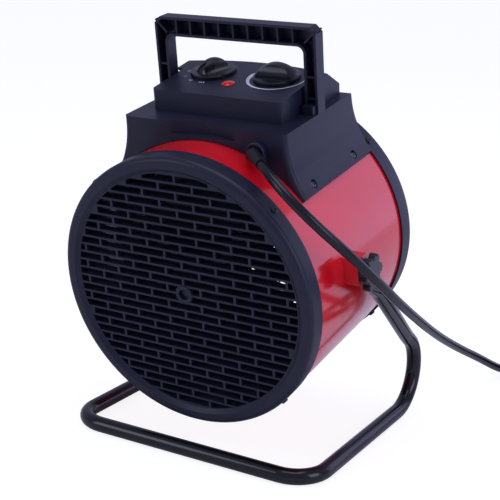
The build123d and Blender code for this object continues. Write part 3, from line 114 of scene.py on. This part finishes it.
heart = (0.0, 0.0, 0.20)
softbox("rear_right_box", (1.5, 2.3, 0.75), heart, 1.9, 2.2, 12, (0.66, 0.66, 1.08))
softbox("right_box", (2.4, -0.4, 1.1), heart, 1.2, 1.6, 17, (0.86, 0.83, 1.08))
softbox("top_box", (0.1, -0.3, 2.4), heart, 1.4, 1.4, 14, (0.88, 0.91, 1.0))
softbox("front_left_box", (-1.6, -2.1, 1.3), heart, 1.0, 1.4, 12, (0.88, 0.91, 1.0))

# The paper sweep round the heater is white in the picture, and dimmer in what its surfaces mirror.
sky = bpy.data.worlds.new("studio")
scene.world = sky
sky.use_nodes = True
sky_tree = sky.node_tree
dim = sky_tree.nodes["Background"]
feed(sky_tree, dim, {"Color": (0.71, 0.75, 1.13, 1.0), "Strength": 0.46})
paper = add(sky_tree, "ShaderNodeBackground", {"Color": (1.0, 1.0, 1.0, 1.0), "Strength": 1.05})
sky_ray = add(sky_tree, "ShaderNodeLightPath")
sky_mix = add(sky_tree, "ShaderNodeMixShader", {
    "Fac": sky_ray.outputs["Is Camera Ray"],
    1: dim.outputs["Background"],
    2: paper.outputs["Background"],
})
feed(sky_tree, sky_tree.nodes["World Output"], {"Surface": sky_mix.outputs["Shader"]})

floor_half = 30.0
floor_glow_share = 0.66           # how much of what the camera sees of the floor is its own white
floor_corners = [(-1, -1), (1, -1), (1, 1), (-1, 1)]
floor_mesh = bpy.data.meshes.new("floor")
floor_mesh.from_pydata([(x * floor_half, y * floor_half, 0.0) for x, y in floor_corners], [], [range(4)])
floor = bpy.data.objects.new("floor", floor_mesh)
scene.collection.objects.link(floor)
floor_paint = bpy.data.materials.new("floor_paint")
floor_paint.use_nodes = True
floor_tree = floor_paint.node_tree
matt = floor_tree.nodes["Principled BSDF"]
feed(floor_tree, matt, {"Base Color": (0.90, 0.90, 0.91, 1.0), "Roughness": 0.9})
glow = add(floor_tree, "ShaderNodeEmission", {"Strength": 1.30})
floor_ray = add(floor_tree, "ShaderNodeLightPath")
floor_mix = add(floor_tree, "ShaderNodeMixShader", {
    "Fac": maths(floor_tree, "MULTIPLY", floor_ray.outputs["Is Camera Ray"], floor_glow_share),
    1: matt.outputs["BSDF"],
    2: glow.outputs["Emission"],
})
feed(floor_tree, floor_tree.nodes["Material Output"], {"Surface": floor_mix.outputs["Shader"]})
floor_mesh.materials.append(floor_paint)


# ---- the cord -----------------------------------------------------------------------------------------
# A rubber-sheathed mains cord, 9.4 mm thick, leaves the housing through a tapered sleeve. It arches out
# over the drum's side, drops past the clamp knob to the floor, and ends in a tied coil and its plug.

coat_roughness = 0.08
tone_stops = (0.32, 0.68)         # where the noise of the patches turns from the dark to the light tone


def surface(name, dark, light, patch, rough, grain, relief,
            metal=0.0, coat=0.0, shine=0.5, seam_map=None):
    """A finish in two close tones, in patches, with wandering roughness and a fine relief.

    patch, grain and relief are in metres; rough is the least and the most roughness. The pattern follows
    the piece's own place, or its UV map where it has to bend with the piece.
    """
    material = bpy.data.materials.new(name)
    material.use_nodes = True
    tree = material.node_tree
    if seam_map:
        place = add(tree, "ShaderNodeUVMap", uv_map=seam_map).outputs["UV"]
    else:
        place = add(tree, "ShaderNodeTexCoord").outputs["Object"]
    patches = add(tree, "ShaderNodeTexNoise", {"Vector": place, "Scale": 1.0 / patch, "Detail": 4.0})
    tones = add(tree, "ShaderNodeValToRGB", {"Fac": patches.outputs["Fac"]})
    for k, tone in enumerate((dark, light)):
        tones.color_ramp.elements[k].position = tone_stops[k]
        tones.color_ramp.elements[k].color = (*tone, 1.0)
    sheen = add(tree, "ShaderNodeMapRange", {
        "Value": patches.outputs["Fac"], "To Min": rough[0], "To Max": rough[1],
    })
    grains = add(tree, "ShaderNodeTexNoise", {"Vector": place, "Scale": 1.0 / grain, "Detail": 2.0})
    bump = add(tree, "ShaderNodeBump", {
        "Strength": 1.0, "Distance": relief, "Height": grains.outputs["Fac"],
    })
    feed(tree, tree.nodes["Principled BSDF"], {
        "Base Color": tones.outputs["Color"],
        "Metallic": metal,
        "Roughness": sheen.outputs["Result"],
        "Normal": bump.outputs["Normal"],
        "Specular IOR Level": shine,
        "Coat Weight": coat,
        "Coat Roughness": coat_roughness,
    })
    return material


def shown(name, mesh, material, body):
    """Links a finished mesh as a piece of the heater that moves with a body."""
    piece = bpy.data.objects.new(name, mesh)
    scene.collection.objects.link(piece)
    mesh.materials.clear()
    mesh.materials.append(material)
    if body:
        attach(piece, body)
    return piece


def dressed(material, *names):
    """Gives CAD pieces their finish."""
    for name in names:
        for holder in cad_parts[name].material_slots:
            holder.material = material


def taken(holder):
    """The plain mesh that an object shows; the object is removed."""
    bpy.context.view_layer.update()
    shape = holder.evaluated_get(bpy.context.evaluated_depsgraph_get())
    mesh = bpy.data.meshes.new_from_object(shape)
    bpy.data.objects.remove(holder)
    return mesh


cord_thickness = 0.0094
cord_sides = 18
gland_tip = Vector((0.0756, -0.11057, 0.30674))
cord_route = [
    gland_tip, (0.08765, -0.12023, 0.30256), (0.1010, -0.1280, 0.2955), (0.1155, -0.1320, 0.2860),
    (0.1300, -0.1315, 0.2745), (0.1440, -0.1250, 0.2605), (0.1575, -0.1125, 0.2445),
    (0.1695, -0.0930, 0.2250), (0.1795, -0.0660, 0.2015), (0.1830, -0.0220, 0.1705),
    (0.1810, 0.0400, 0.1350), (0.1775, 0.1080, 0.0985), (0.1790, 0.1760, 0.0645),
    (0.1850, 0.2250, 0.0405), (0.1910, 0.2600, 0.0215), (0.1959, 0.2868, 0.0085),
    (0.1995, 0.3073, 0.0059), (0.20105, 0.31644, 0.0056), (0.2027, 0.3258, 0.0056),
]
coil_heading = radians(80)
coil_ahead = Vector((cos(coil_heading), sin(coil_heading), 0))
coil_inward = Vector((sin(coil_heading), -cos(coil_heading), 0))
coil_half_turns = [0.0600, 0.0549, 0.0498, 0.0447, 0.0498, 0.0549, 0.0600]
coil_climb = 3                    # the half turn that rises to the upper layer
coil_pitch = 0.0102
points_a_half_turn = 9
plug_lift = 0.0129                # from the coil's floor layer up to the plug's axis
plug_bend = 0.060
plug_rise = plug_lift - coil_pitch

route = [Vector(point) for point in cord_route]
coil_point = route[-1] + coil_ahead * cord_thickness
swell = 1 / cos(pi / points_a_half_turn / 2)
side = 1
for k, radius in enumerate(coil_half_turns):
    centre = coil_point + coil_inward * (side * radius)
    rise = coil_pitch if k == coil_climb else 0.0
    for j in range(points_a_half_turn):
        share = (j + 0.5) / points_a_half_turn
        spoke = coil_ahead * (side * sin(share * pi)) - coil_inward * (side * cos(share * pi))
        route.append(centre + spoke * (radius * swell) + Vector((0, 0, rise * share)))
    coil_point = coil_point + coil_inward * (side * 2 * radius) + Vector((0, 0, rise))
    side = -side
tail_ahead = coil_ahead * side
tail_turn = acos(1 - plug_rise / (2 * plug_bend))
tail_end = coil_point + tail_ahead * (2 * plug_bend * sin(tail_turn)) + Vector((0, 0, plug_rise))
tail_corner = tail_ahead * (plug_bend * tan(tail_turn / 2))
plug_start = tail_end + tail_ahead * cord_thickness
route += [coil_point + tail_corner, tail_end - tail_corner, plug_start]

line = bpy.data.curves.new("cord_line", "CURVE")
line.dimensions = "3D"
line.resolution_u = 10
spline = line.splines.new("NURBS")
spline.points.add(len(route) - 1)
for knot, point in zip(spline.points, route):
    knot.co = (*point, 1.0)
spline.order_u = 3
spline.use_endpoint_u = True
line_holder = bpy.data.objects.new("cord_line", line)
scene.collection.objects.link(line_holder)
line_mesh = taken(line_holder)
cord_line = [vertex.co.copy() for vertex in line_mesh.vertices]
bpy.data.meshes.remove(line_mesh)


def tube_along(name, points, radius, sides):
    """A closed round tube along points, with a UV map in metres: round it, and along it."""
    steps = [b - a for a, b in zip(points, points[1:])]
    work = bmesh.new()
    chart = work.loops.layers.uv.new("along")
    normal = steps[0].orthogonal().normalized()
    rings = []
    run = [0.0]
    for k, point in enumerate(points):
        if k:
            run.append(run[-1] + steps[k - 1].length)
        before = steps[max(k - 1, 0)].normalized()
        after = steps[min(k, len(steps) - 1)].normalized()
        heading = (before + after).normalized()
        normal = (normal - heading * normal.dot(heading)).normalized()
        across = heading.cross(normal)
        ring = []
        for j in range(sides):
            angle = 2 * pi * j / sides
            ring.append(work.verts.new(point + (normal * cos(angle) + across * sin(angle)) * radius))
        rings.append(ring)
    for k in range(len(rings) - 1):
        for j in range(sides):
            n = (j + 1) % sides
            face = work.faces.new((rings[k][j], rings[k][n], rings[k + 1][n], rings[k + 1][j]))
            face.smooth = True
            corners = [(j, k), (j + 1, k), (j + 1, k + 1), (j, k + 1)]
            for loop, (u, v) in zip(face.loops, corners):
                loop[chart].uv = (u / sides * 2 * pi * radius, run[v])
    work.faces.new(list(reversed(rings[0])))
    work.faces.new(rings[-1])
    mesh = bpy.data.meshes.new(name)
    work.to_mesh(mesh)
    work.free()
    return mesh


cord_rubber = surface(
    "cord_rubber", (0.005, 0.005, 0.007), (0.008, 0.008, 0.011), 0.012, (0.16, 0.24), 0.0009, 0.00002,
    shine=0.32, seam_map="along",
)
sleeve_rubber = surface(
    "sleeve_rubber", (0.006, 0.006, 0.009), (0.010, 0.010, 0.014), 0.010, (0.34, 0.48), 0.0007, 0.00004,
    shine=0.30,
)
tie_weave = surface(
    "tie_weave", (0.010, 0.010, 0.011), (0.022, 0.022, 0.024), 0.0012, (0.60, 0.72), 0.0005, 0.00006,
)
cord_mesh = tube_along("mains_cord", cord_line, cord_thickness / 2, cord_sides)
cord = shown("mains_cord", cord_mesh, cord_rubber, None)
dressed(sleeve_rubber, "cord_gland", "plug_body")
dressed(tie_weave, "coil_tie")
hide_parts("cord_lead", "cord_coil")
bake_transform(cord)


# ---- the drum -----------------------------------------------------------------------------------------
# A rolled sheet steel tube, sprayed in a glossy red enamel and baked. The paint is smooth, with the
# faint orange peel of a sprayed coat. The folded pivot boxes are welded on and painted with it.

drum_middle = Vector((0.0, -0.008481, 0.1909))
drum_tilt = radians(10.14)
drum_place = Matrix.Translation(drum_middle) @ Matrix.Rotation(drum_tilt, 4, "X")
shade_inside_radius = 0.1374              # nearer the axis than this the shell's inner face is dark slate: painted shade for the dim inside
painted_inside_shade = (0.060, 0.063, 0.090, 1.0)

red_enamel = surface(
    "red_enamel", (0.64, 0.004, 0.012), (0.72, 0.006, 0.016), 0.060, (0.15, 0.21), 0.0035, 0.000012,
    coat=0.5,
)
paint_tree = red_enamel.node_tree
paint_shader = paint_tree.nodes["Principled BSDF"]
paint_place = next(node for node in paint_tree.nodes if node.bl_idname == "ShaderNodeTexCoord")
red_tones = paint_shader.inputs["Base Color"].links[0].from_socket
level = add(paint_tree, "ShaderNodeMapping", {
    "Vector": paint_place.outputs["Object"],
    "Rotation": (-drum_tilt, 0.0, 0.0),
    "Location": Matrix.Rotation(-drum_tilt, 3, "X") @ -drum_middle,
})
off_axis = add(paint_tree, "ShaderNodeVectorMath", {
    0: level.outputs["Vector"], 1: (1.0, 0.0, 1.0),
}, operation="MULTIPLY")
reach = add(paint_tree, "ShaderNodeVectorMath", {0: off_axis.outputs["Vector"]}, operation="LENGTH")
# The shell's inner face is coloured dark slate instead of red: painted shade for the dim inside of the drum
# seen through the grille.
inside_shade_mix = add(paint_tree, "ShaderNodeMix", data_type="RGBA")
feed(paint_tree, inside_shade_mix, {
    "Factor": maths(paint_tree, "LESS_THAN", reach.outputs["Value"], shade_inside_radius),
    6: red_tones,
    7: painted_inside_shade,
})
feed(paint_tree, paint_shader, {"Base Color": inside_shade_mix.outputs[2]})
dressed(red_enamel, "drum_shell", "pivot_bracket_left", "pivot_bracket_right")


# ---- the end rings and the intake grille --------------------------------------------------------------
# Both rings are black ABS with a fine spark-eroded grain. The intake ring is moulded in one piece with
# its brick-slotted grille; the outlet ring is open and holds the wire guard.

def softened(node, width, segments=2, sharp=32.0):
    """A copy of a CAD piece with its loose triangles joined and its edges rounded by a small bevel."""
    work = bmesh.new()
    work.from_mesh(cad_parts[node].data)
    bmesh.ops.remove_doubles(work, verts=work.verts, dist=0.000002)
    bmesh.ops.join_triangles(
        work, faces=work.faces, angle_face_threshold=radians(0.2), angle_shape_threshold=pi,
    )
    for face in work.faces:
        face.smooth = True
    mesh = bpy.data.meshes.new(node + "_moulded")
    work.to_mesh(mesh)
    work.free()
    if "custom_normal" in mesh.attributes:
        mesh.attributes.remove(mesh.attributes["custom_normal"])
    holder = bpy.data.objects.new("holder", mesh)
    scene.collection.objects.link(holder)
    bevel = holder.modifiers.new("rounding", "BEVEL")
    bevel.width = width
    bevel.segments = segments
    bevel.limit_method = "ANGLE"
    bevel.angle_limit = radians(sharp)
    bevel.harden_normals = True
    soft = taken(holder)
    soft.name = node + "_moulded"
    return soft


black_grain = surface(
    "black_grain", (0.0096, 0.0098, 0.0235), (0.0130, 0.0132, 0.0300), 0.030, (0.36, 0.44), 0.0006, 0.00004,
    shine=0.30,
)
for node, width in (("intake_grille", 0.0005), ("outlet_ring", 0.0006)):
    moulding = shown(node + "_moulded", softened(node, width), black_grain, "heater")
    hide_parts(node)


# ---- the control housing and the handle ---------------------------------------------------------------
# The housing is one black ABS moulding: a saddle that is screwed to the drum, and the box that carries
# the knobs. The handle is a ribbed channel bow, screwed on from inside.

for node, width in (("control_housing", 0.0011), ("carry_handle", 0.0005)):
    moulding = shown(node + "_moulded", softened(node, width, 3), black_grain, "heater")
    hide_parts(node)


# ---- the marks round the knobs ------------------------------------------------------------------------
# White pad printing on the panel, a few hundredths of a millimetre thick: a wedge that narrows round the
# thermostat between two rows of dots, and the four places of the selector.

def new_tree(name, sizes):
    """An empty geometry tree with a named input for each size, and its input and output nodes."""
    tree = bpy.data.node_groups.new(name, "GeometryNodeTree")
    tree.interface.new_socket("Geometry", in_out="OUTPUT", socket_type="NodeSocketGeometry")
    for label, value in sizes.items():
        kind = "NodeSocketInt" if isinstance(value, int) else "NodeSocketFloat"
        tree.interface.new_socket(label, in_out="INPUT", socket_type=kind).default_value = value
    return tree, add(tree, "NodeGroupInput"), add(tree, "NodeGroupOutput")


def close_tree(tree, shape, sink, material):
    """Ends a tree: the copies become one mesh with its finish."""
    real = add(tree, "GeometryNodeRealizeInstances", {"Geometry": shape})
    finish = add(tree, "GeometryNodeSetMaterial", {
        "Geometry": real.outputs["Geometry"], "Material": material,
    })
    feed(tree, sink, {0: finish.outputs["Geometry"]})


def grown(name, tree, sizes, place):
    """The plain mesh that a tree makes at the given sizes, moved to its place."""
    holder = bpy.data.objects.new(name, bpy.data.meshes.new(name + "_seed"))
    scene.collection.objects.link(holder)
    grower = holder.modifiers.new(name, "NODES")
    grower.node_group = tree
    for item in tree.interface.items_tree:
        if item.in_out == "INPUT" and item.name in sizes:
            grower[item.identifier] = sizes[item.name]
    mesh = taken(holder)
    mesh.name = name
    mesh.transform(place)
    return mesh


panel_slope = radians(4.7)
panel_front = Vector((0.0, -0.0317, 0.1751))
print_height = 0.00006


def panel_spot(x, y):
    """The place of a spot on the sloping panel, from its distances in the drum's frame."""
    height = panel_front.z + (y - panel_front.y) * tan(panel_slope)
    return drum_place @ Matrix.Translation((x, y, height)) @ Matrix.Rotation(panel_slope, 4, "X")


def flat_mark(name, corners, faces, place):
    """A printed patch with a little thickness."""
    count = len(corners)
    points = [(x, y, print_height) for x, y in corners] + [(x, y, -print_height) for x, y in corners]
    edges = [edge for face in faces for edge in zip(face, face[1:] + face[:1])]
    skirts = [(b, a, a + count, b + count) for a, b in edges if (b, a) not in edges]
    unders = [tuple(k + count for k in reversed(face)) for face in faces]
    mesh = bpy.data.meshes.new(name)
    mesh.from_pydata(points, [], [tuple(face) for face in faces] + skirts + unders)
    mesh.transform(place)
    return mesh


print_white = surface(
    "print_white", (0.66, 0.67, 0.72), (0.74, 0.75, 0.80), 0.006, (0.40, 0.50), 0.0008, 0.00001, shine=0.3,
)
thermostat_spot = panel_spot(0.037, 0.026)
selector_spot = panel_spot(-0.035, 0.025)

wedge_outer = 0.0307
wedge_thin = 0.0012               # the width of its thin end
wedge_growth = 0.0048             # and how much wider it is at the other
wedge_taper = 3.2
wedge_nose = 0.05                 # the share of its length in which the wide end closes
wedge_start = 164
wedge_end = 372
wedge_steps = 72
corners = []
for k in range(wedge_steps + 1):
    share = k / wedge_steps
    angle = radians(wedge_start + (wedge_end - wedge_start) * share)
    opening = min(1.0, share / wedge_nose) ** 0.5
    full = wedge_thin + wedge_growth * (1 - share) ** wedge_taper
    width = full * (0.35 + 0.65 * opening)
    middle = wedge_outer - full / 2
    for radius in (middle + width / 2, middle - width / 2):
        corners.append((radius * cos(angle), radius * sin(angle)))
faces = [[2 * k, 2 * k + 2, 2 * k + 3, 2 * k + 1] for k in range(wedge_steps)]
wedge_mesh = flat_mark("thermostat_wedge", corners, faces, thermostat_spot)
shown("thermostat_wedge", wedge_mesh, print_white, "heater")

dot_sizes = {
    "Count": 6, "Radius": 0.0302, "First angle": 115.0, "Step": 8.2, "Length": 0.0022, "Width": 0.0011,
}
dot_tree, dot_in, dot_out = new_tree("dial_dots", dot_sizes)
dot_line = add(dot_tree, "GeometryNodeMeshLine", {
    "Count": dot_in.outputs["Count"], "Offset": (0.0, 0.0, 0.0),
})
dot_index = add(dot_tree, "GeometryNodeInputIndex")
dot_angle = maths(
    dot_tree, "MULTIPLY_ADD",
    dot_index.outputs["Index"], dot_in.outputs["Step"], dot_in.outputs["First angle"],
)
dot_heading = add(dot_tree, "ShaderNodeCombineXYZ", {"Z": maths(dot_tree, "RADIANS", dot_angle)})
dot_shape = add(dot_tree, "ShaderNodeCombineXYZ", {
    "X": dot_in.outputs["Length"], "Y": dot_in.outputs["Width"], "Z": 2 * print_height,
})
dot_block = add(dot_tree, "GeometryNodeMeshCube", {"Size": dot_shape.outputs["Vector"]})
dot_reach = add(dot_tree, "ShaderNodeCombineXYZ", {"X": dot_in.outputs["Radius"]})
dot_shift = add(dot_tree, "GeometryNodeTransform", {
    "Geometry": dot_block.outputs["Mesh"], "Translation": dot_reach.outputs["Vector"],
})
dot_copies = add(dot_tree, "GeometryNodeInstanceOnPoints", {
    "Points": dot_line.outputs["Mesh"],
    "Instance": dot_shift.outputs["Geometry"],
    "Rotation": dot_heading.outputs["Vector"],
})
close_tree(dot_tree, dot_copies.outputs["Instances"], dot_out, print_white)


def dots(name, place, changes):
    """A run of printed dots round a spot, in the sizes of the thermostat's dots apart from the changes."""
    mesh = grown(name, dot_tree, dot_sizes | changes, place)
    shown(name, mesh, print_white, "heater")


dots("thermostat_dots", thermostat_spot, {})
dots("thermostat_far_end", thermostat_spot, {
    "Count": 7, "First angle": 28.0, "Step": 3.2, "Length": 0.0012, "Width": 0.0022,
})

# The selector's places: a small ring for off, then one, two and three strokes.
off_reach = 0.0275
off_angle = radians(186)
off_shift = Matrix.Translation((off_reach * cos(off_angle), off_reach * sin(off_angle), 0.0))
dots("selector_off", selector_spot @ off_shift, {
    "Count": 16, "Radius": 0.0015, "First angle": 0.0, "Step": 22.5, "Length": 0.0006, "Width": 0.0008,
})
stroke_step = 4.4
for count, angle in ((1, 217.0), (2, 246.0), (3, 276.0)):
    dots(f"selector_place_{count}", selector_spot, {
        "Count": count, "Radius": 0.0283, "First angle": angle - stroke_step / 2 * (count - 1),
        "Step": stroke_step, "Length": 0.0030, "Width": 0.0008,
    })


# ---- the knobs ----------------------------------------------------------------------------------------
# Two satin black knobs with a winged grip turn on steel shafts; the clamp knobs are lobed and press the
# stand against the pivot boxes.

satin_black = surface(
    "satin_black", (0.0040, 0.0042, 0.0075), (0.0065, 0.0068, 0.0110), 0.020, (0.20, 0.28), 0.0012, 0.00001,
    shine=0.4,
)
for node, body in (
    ("selector_knob", "selector"),
    ("thermostat_knob", "thermostat"),
    ("clamp_knob_left", "clamp_left"),
    ("clamp_knob_right", "clamp_right"),
):
    knob = shown(node + "_moulded", softened(node, 0.0006, 3), satin_black, body)
    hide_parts(node)


# ---- the screws, shafts and other plated steel --------------------------------------------------------
# Zinc-plated steel, a little dull, with the blue-grey patches of the plating. The screws of the
# housing are plated in black zinc, and those of the rings are blackened. The motor's screws get the same
# dark black zinc as painted shade, to keep them dim inside the drum.

zinc = surface(
    "zinc_plate", (0.42, 0.43, 0.45), (0.62, 0.62, 0.62), 0.004, (0.26, 0.42), 0.0008, 0.00002, metal=1.0,
)
blackened = surface(
    "blackened_steel", (0.020, 0.020, 0.022), (0.045, 0.045, 0.048), 0.003, (0.30, 0.42), 0.0008, 0.00002,
    metal=0.6,
)
black_zinc_and_shade = surface(
    "black_zinc_plate_and_shade", (0.085, 0.088, 0.105), (0.150, 0.152, 0.175), 0.003, (0.22, 0.34), 0.0008, 0.00002,
    metal=1.0,
)
dressed(
    zinc, "motor_shaft", "fan_nut", "handle_screws", "pivot_nuts", "clamp_stud_left", "clamp_stud_right",
    "selector_shaft", "thermostat_shaft", "plug_pins",
)
# The housing's screws are black zinc; on the motor's screws the same dark finish is painted shade for the
# dim inside of the drum.
dressed(black_zinc_and_shade, "housing_screws", "motor_screws")
dressed(blackened, "intake_ring_screws", "outlet_ring_screws")


# ---- the works inside the drum ------------------------------------------------------------------------
# A sheet shield stands round two sheathed elements, behind a pressed fan and a closed motor. All of
# them are coloured near black: painted shade for the dim inside of the drum.
# The guard over the hot end is hard wire: rings welded on spokes, dipped in black.

# The shield, its brackets, the elements, the fan, the motor and its bracket get near-black colours: painted
# shade for the dim inside of the drum.
dark_sheet = surface(
    "dark_sheet", (0.016, 0.015, 0.017), (0.030, 0.027, 0.028), 0.030, (0.44, 0.58), 0.0030, 0.00003,
    metal=0.4, shine=0.3,
)
fan_painted_shade = surface(
    "fan_painted_shade", (0.010, 0.010, 0.012), (0.016, 0.016, 0.019), 0.020, (0.36, 0.48), 0.0015, 0.00003,
    shine=0.3,
)
element_painted_shade = surface(
    "element_painted_shade", (0.035, 0.031, 0.030), (0.085, 0.072, 0.065), 0.012, (0.42, 0.60), 0.0009, 0.00003,
    metal=0.9,
)
motor_painted_shade = surface(
    "motor_painted_shade", (0.030, 0.031, 0.034), (0.045, 0.046, 0.050), 0.015, (0.42, 0.56), 0.0012, 0.00004,
)
guard_enamel = surface(
    "guard_enamel", (0.008, 0.008, 0.010), (0.014, 0.014, 0.016), 0.010, (0.30, 0.42), 0.0014, 0.00003,
    shine=0.3,
)
white_moulding = surface(
    "white_moulding", (0.66, 0.64, 0.58), (0.74, 0.72, 0.67), 0.010, (0.42, 0.52), 0.0008, 0.00003,
)
fibre = surface(
    "fibre", (0.050, 0.034, 0.026), (0.085, 0.060, 0.046), 0.004, (0.60, 0.75), 0.0006, 0.00005,
)
# Painted shade: the works inside the drum are dressed in these near-black colours.
dressed(dark_sheet, "heat_shield", "shield_brackets", "element_brackets")
dressed(fan_painted_shade, "fan_impeller", "motor_bracket")
dressed(element_painted_shade, "front_element", "rear_element")
dressed(motor_painted_shade, "fan_motor")
dressed(white_moulding, "rotary_switch", "thermostat_body", "terminal_block")
dressed(fibre, "thermal_cutout", "pivot_washers")

guard_plane = 0.10622             # the rings' plane, from the drum's middle
guard_disc_depth = 0.0030
guard_sizes = {
    "Rings": 7, "Spokes": 8, "Disc radius": 0.013, "Outer radius": 0.1221, "Wire": 0.0012,
    "Spoke lift": 0.00108,
}
guard_tree, guard_in, guard_out = new_tree("wire_guard", guard_sizes)
guard_size = guard_in.outputs
wire_section = add(guard_tree, "GeometryNodeCurvePrimitiveCircle", {
    "Resolution": 10, "Radius": guard_size["Wire"],
})

ring_line = add(guard_tree, "GeometryNodeMeshLine", {
    "Count": guard_size["Rings"], "Offset": (0.0, 0.0, 0.0),
})
ring_order = add(guard_tree, "GeometryNodeInputIndex")
ring_span = maths(guard_tree, "SUBTRACT", guard_size["Outer radius"], guard_size["Disc radius"])
ring_step = maths(guard_tree, "DIVIDE", ring_span, guard_size["Rings"])
ring_less = maths(guard_tree, "MULTIPLY", ring_order.outputs["Index"], ring_step)
unit_ring = add(guard_tree, "GeometryNodeCurvePrimitiveCircle", {"Resolution": 96, "Radius": 1.0})
ring_copies = add(guard_tree, "GeometryNodeInstanceOnPoints", {
    "Points": ring_line.outputs["Mesh"],
    "Instance": unit_ring.outputs["Curve"],
    "Scale": maths(guard_tree, "SUBTRACT", guard_size["Outer radius"], ring_less),
})
ring_curves = add(guard_tree, "GeometryNodeRealizeInstances", {"Geometry": ring_copies.outputs["Instances"]})
ring_wires = add(guard_tree, "GeometryNodeCurveToMesh", {
    "Curve": ring_curves.outputs["Geometry"], "Profile Curve": wire_section.outputs["Curve"],
})

spoke_end = add(guard_tree, "ShaderNodeCombineXYZ", {"X": guard_size["Outer radius"]})
spoke_line = add(guard_tree, "GeometryNodeCurvePrimitiveLine", {
    "Start": (0.0, 0.0, 0.0), "End": spoke_end.outputs["Vector"],
})
spoke_points = add(guard_tree, "GeometryNodeMeshLine", {
    "Count": guard_size["Spokes"], "Offset": (0.0, 0.0, 0.0),
})
spoke_order = add(guard_tree, "GeometryNodeInputIndex")
spoke_share = maths(guard_tree, "ADD", spoke_order.outputs["Index"], 0.5)
spoke_part = maths(guard_tree, "DIVIDE", spoke_share, guard_size["Spokes"])
spoke_heading = add(guard_tree, "ShaderNodeCombineXYZ", {
    "Z": maths(guard_tree, "MULTIPLY", spoke_part, 2 * pi),
})
spoke_copies = add(guard_tree, "GeometryNodeInstanceOnPoints", {
    "Points": spoke_points.outputs["Mesh"],
    "Instance": spoke_line.outputs["Curve"],
    "Rotation": spoke_heading.outputs["Vector"],
})
spoke_curves = add(guard_tree, "GeometryNodeRealizeInstances", {
    "Geometry": spoke_copies.outputs["Instances"],
})
spoke_wires = add(guard_tree, "GeometryNodeCurveToMesh", {
    "Curve": spoke_curves.outputs["Geometry"],
    "Profile Curve": wire_section.outputs["Curve"],
    "Fill Caps": True,
})
spoke_lift = add(guard_tree, "ShaderNodeCombineXYZ", {"Z": guard_size["Spoke lift"]})
spoke_place = add(guard_tree, "GeometryNodeTransform", {
    "Geometry": spoke_wires.outputs["Mesh"], "Translation": spoke_lift.outputs["Vector"],
})

guard_disc = add(guard_tree, "GeometryNodeMeshCylinder", {
    "Vertices": 48, "Depth": guard_disc_depth, "Radius": guard_size["Disc radius"],
})
guard_whole = add(guard_tree, "GeometryNodeJoinGeometry")
for part in (ring_wires.outputs["Mesh"], spoke_place.outputs["Geometry"], guard_disc.outputs["Mesh"]):
    feed(guard_tree, guard_whole, {"Geometry": part})
guard_smooth = add(guard_tree, "GeometryNodeSetShadeSmooth", {"Geometry": guard_whole.outputs["Geometry"]})
close_tree(guard_tree, guard_smooth.outputs["Geometry"], guard_out, guard_enamel)
guard_spot = drum_place @ Matrix.Translation((0.0, guard_plane, 0.0)) @ Matrix.Rotation(radians(-90), 4, "X")
guard_mesh = grown("wire_guard", guard_tree, guard_sizes, guard_spot)
guard = shown("wire_guard", guard_mesh, guard_enamel, "heater")
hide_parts("outlet_guard")


# ---- the pilot lamp -----------------------------------------------------------------------------------
# A low dome of clear red plastic, pushed into the panel between the knobs. It is shown unlit, with the
# gloss of a polished lens.

lens_red = surface(
    "lens_red", (0.62, 0.012, 0.010), (0.80, 0.030, 0.020), 0.004, (0.12, 0.20), 0.0012, 0.00003, coat=0.5,
)
dressed(lens_red, "neon_lens")


# ---- the stand ----------------------------------------------------------------------------------------
# One bent 16 mm steel tube in a glossy black powder coat, flattened at both ends for the clamp studs.
# The drum hangs between its uprights, and its runners rest on the floor.

black_powder = surface(
    "black_powder", (0.004, 0.004, 0.006), (0.007, 0.007, 0.010), 0.030, (0.12, 0.20), 0.0028, 0.00002,
    coat=0.1, shine=0.35,
)
dressed(black_powder, "stand_tube")
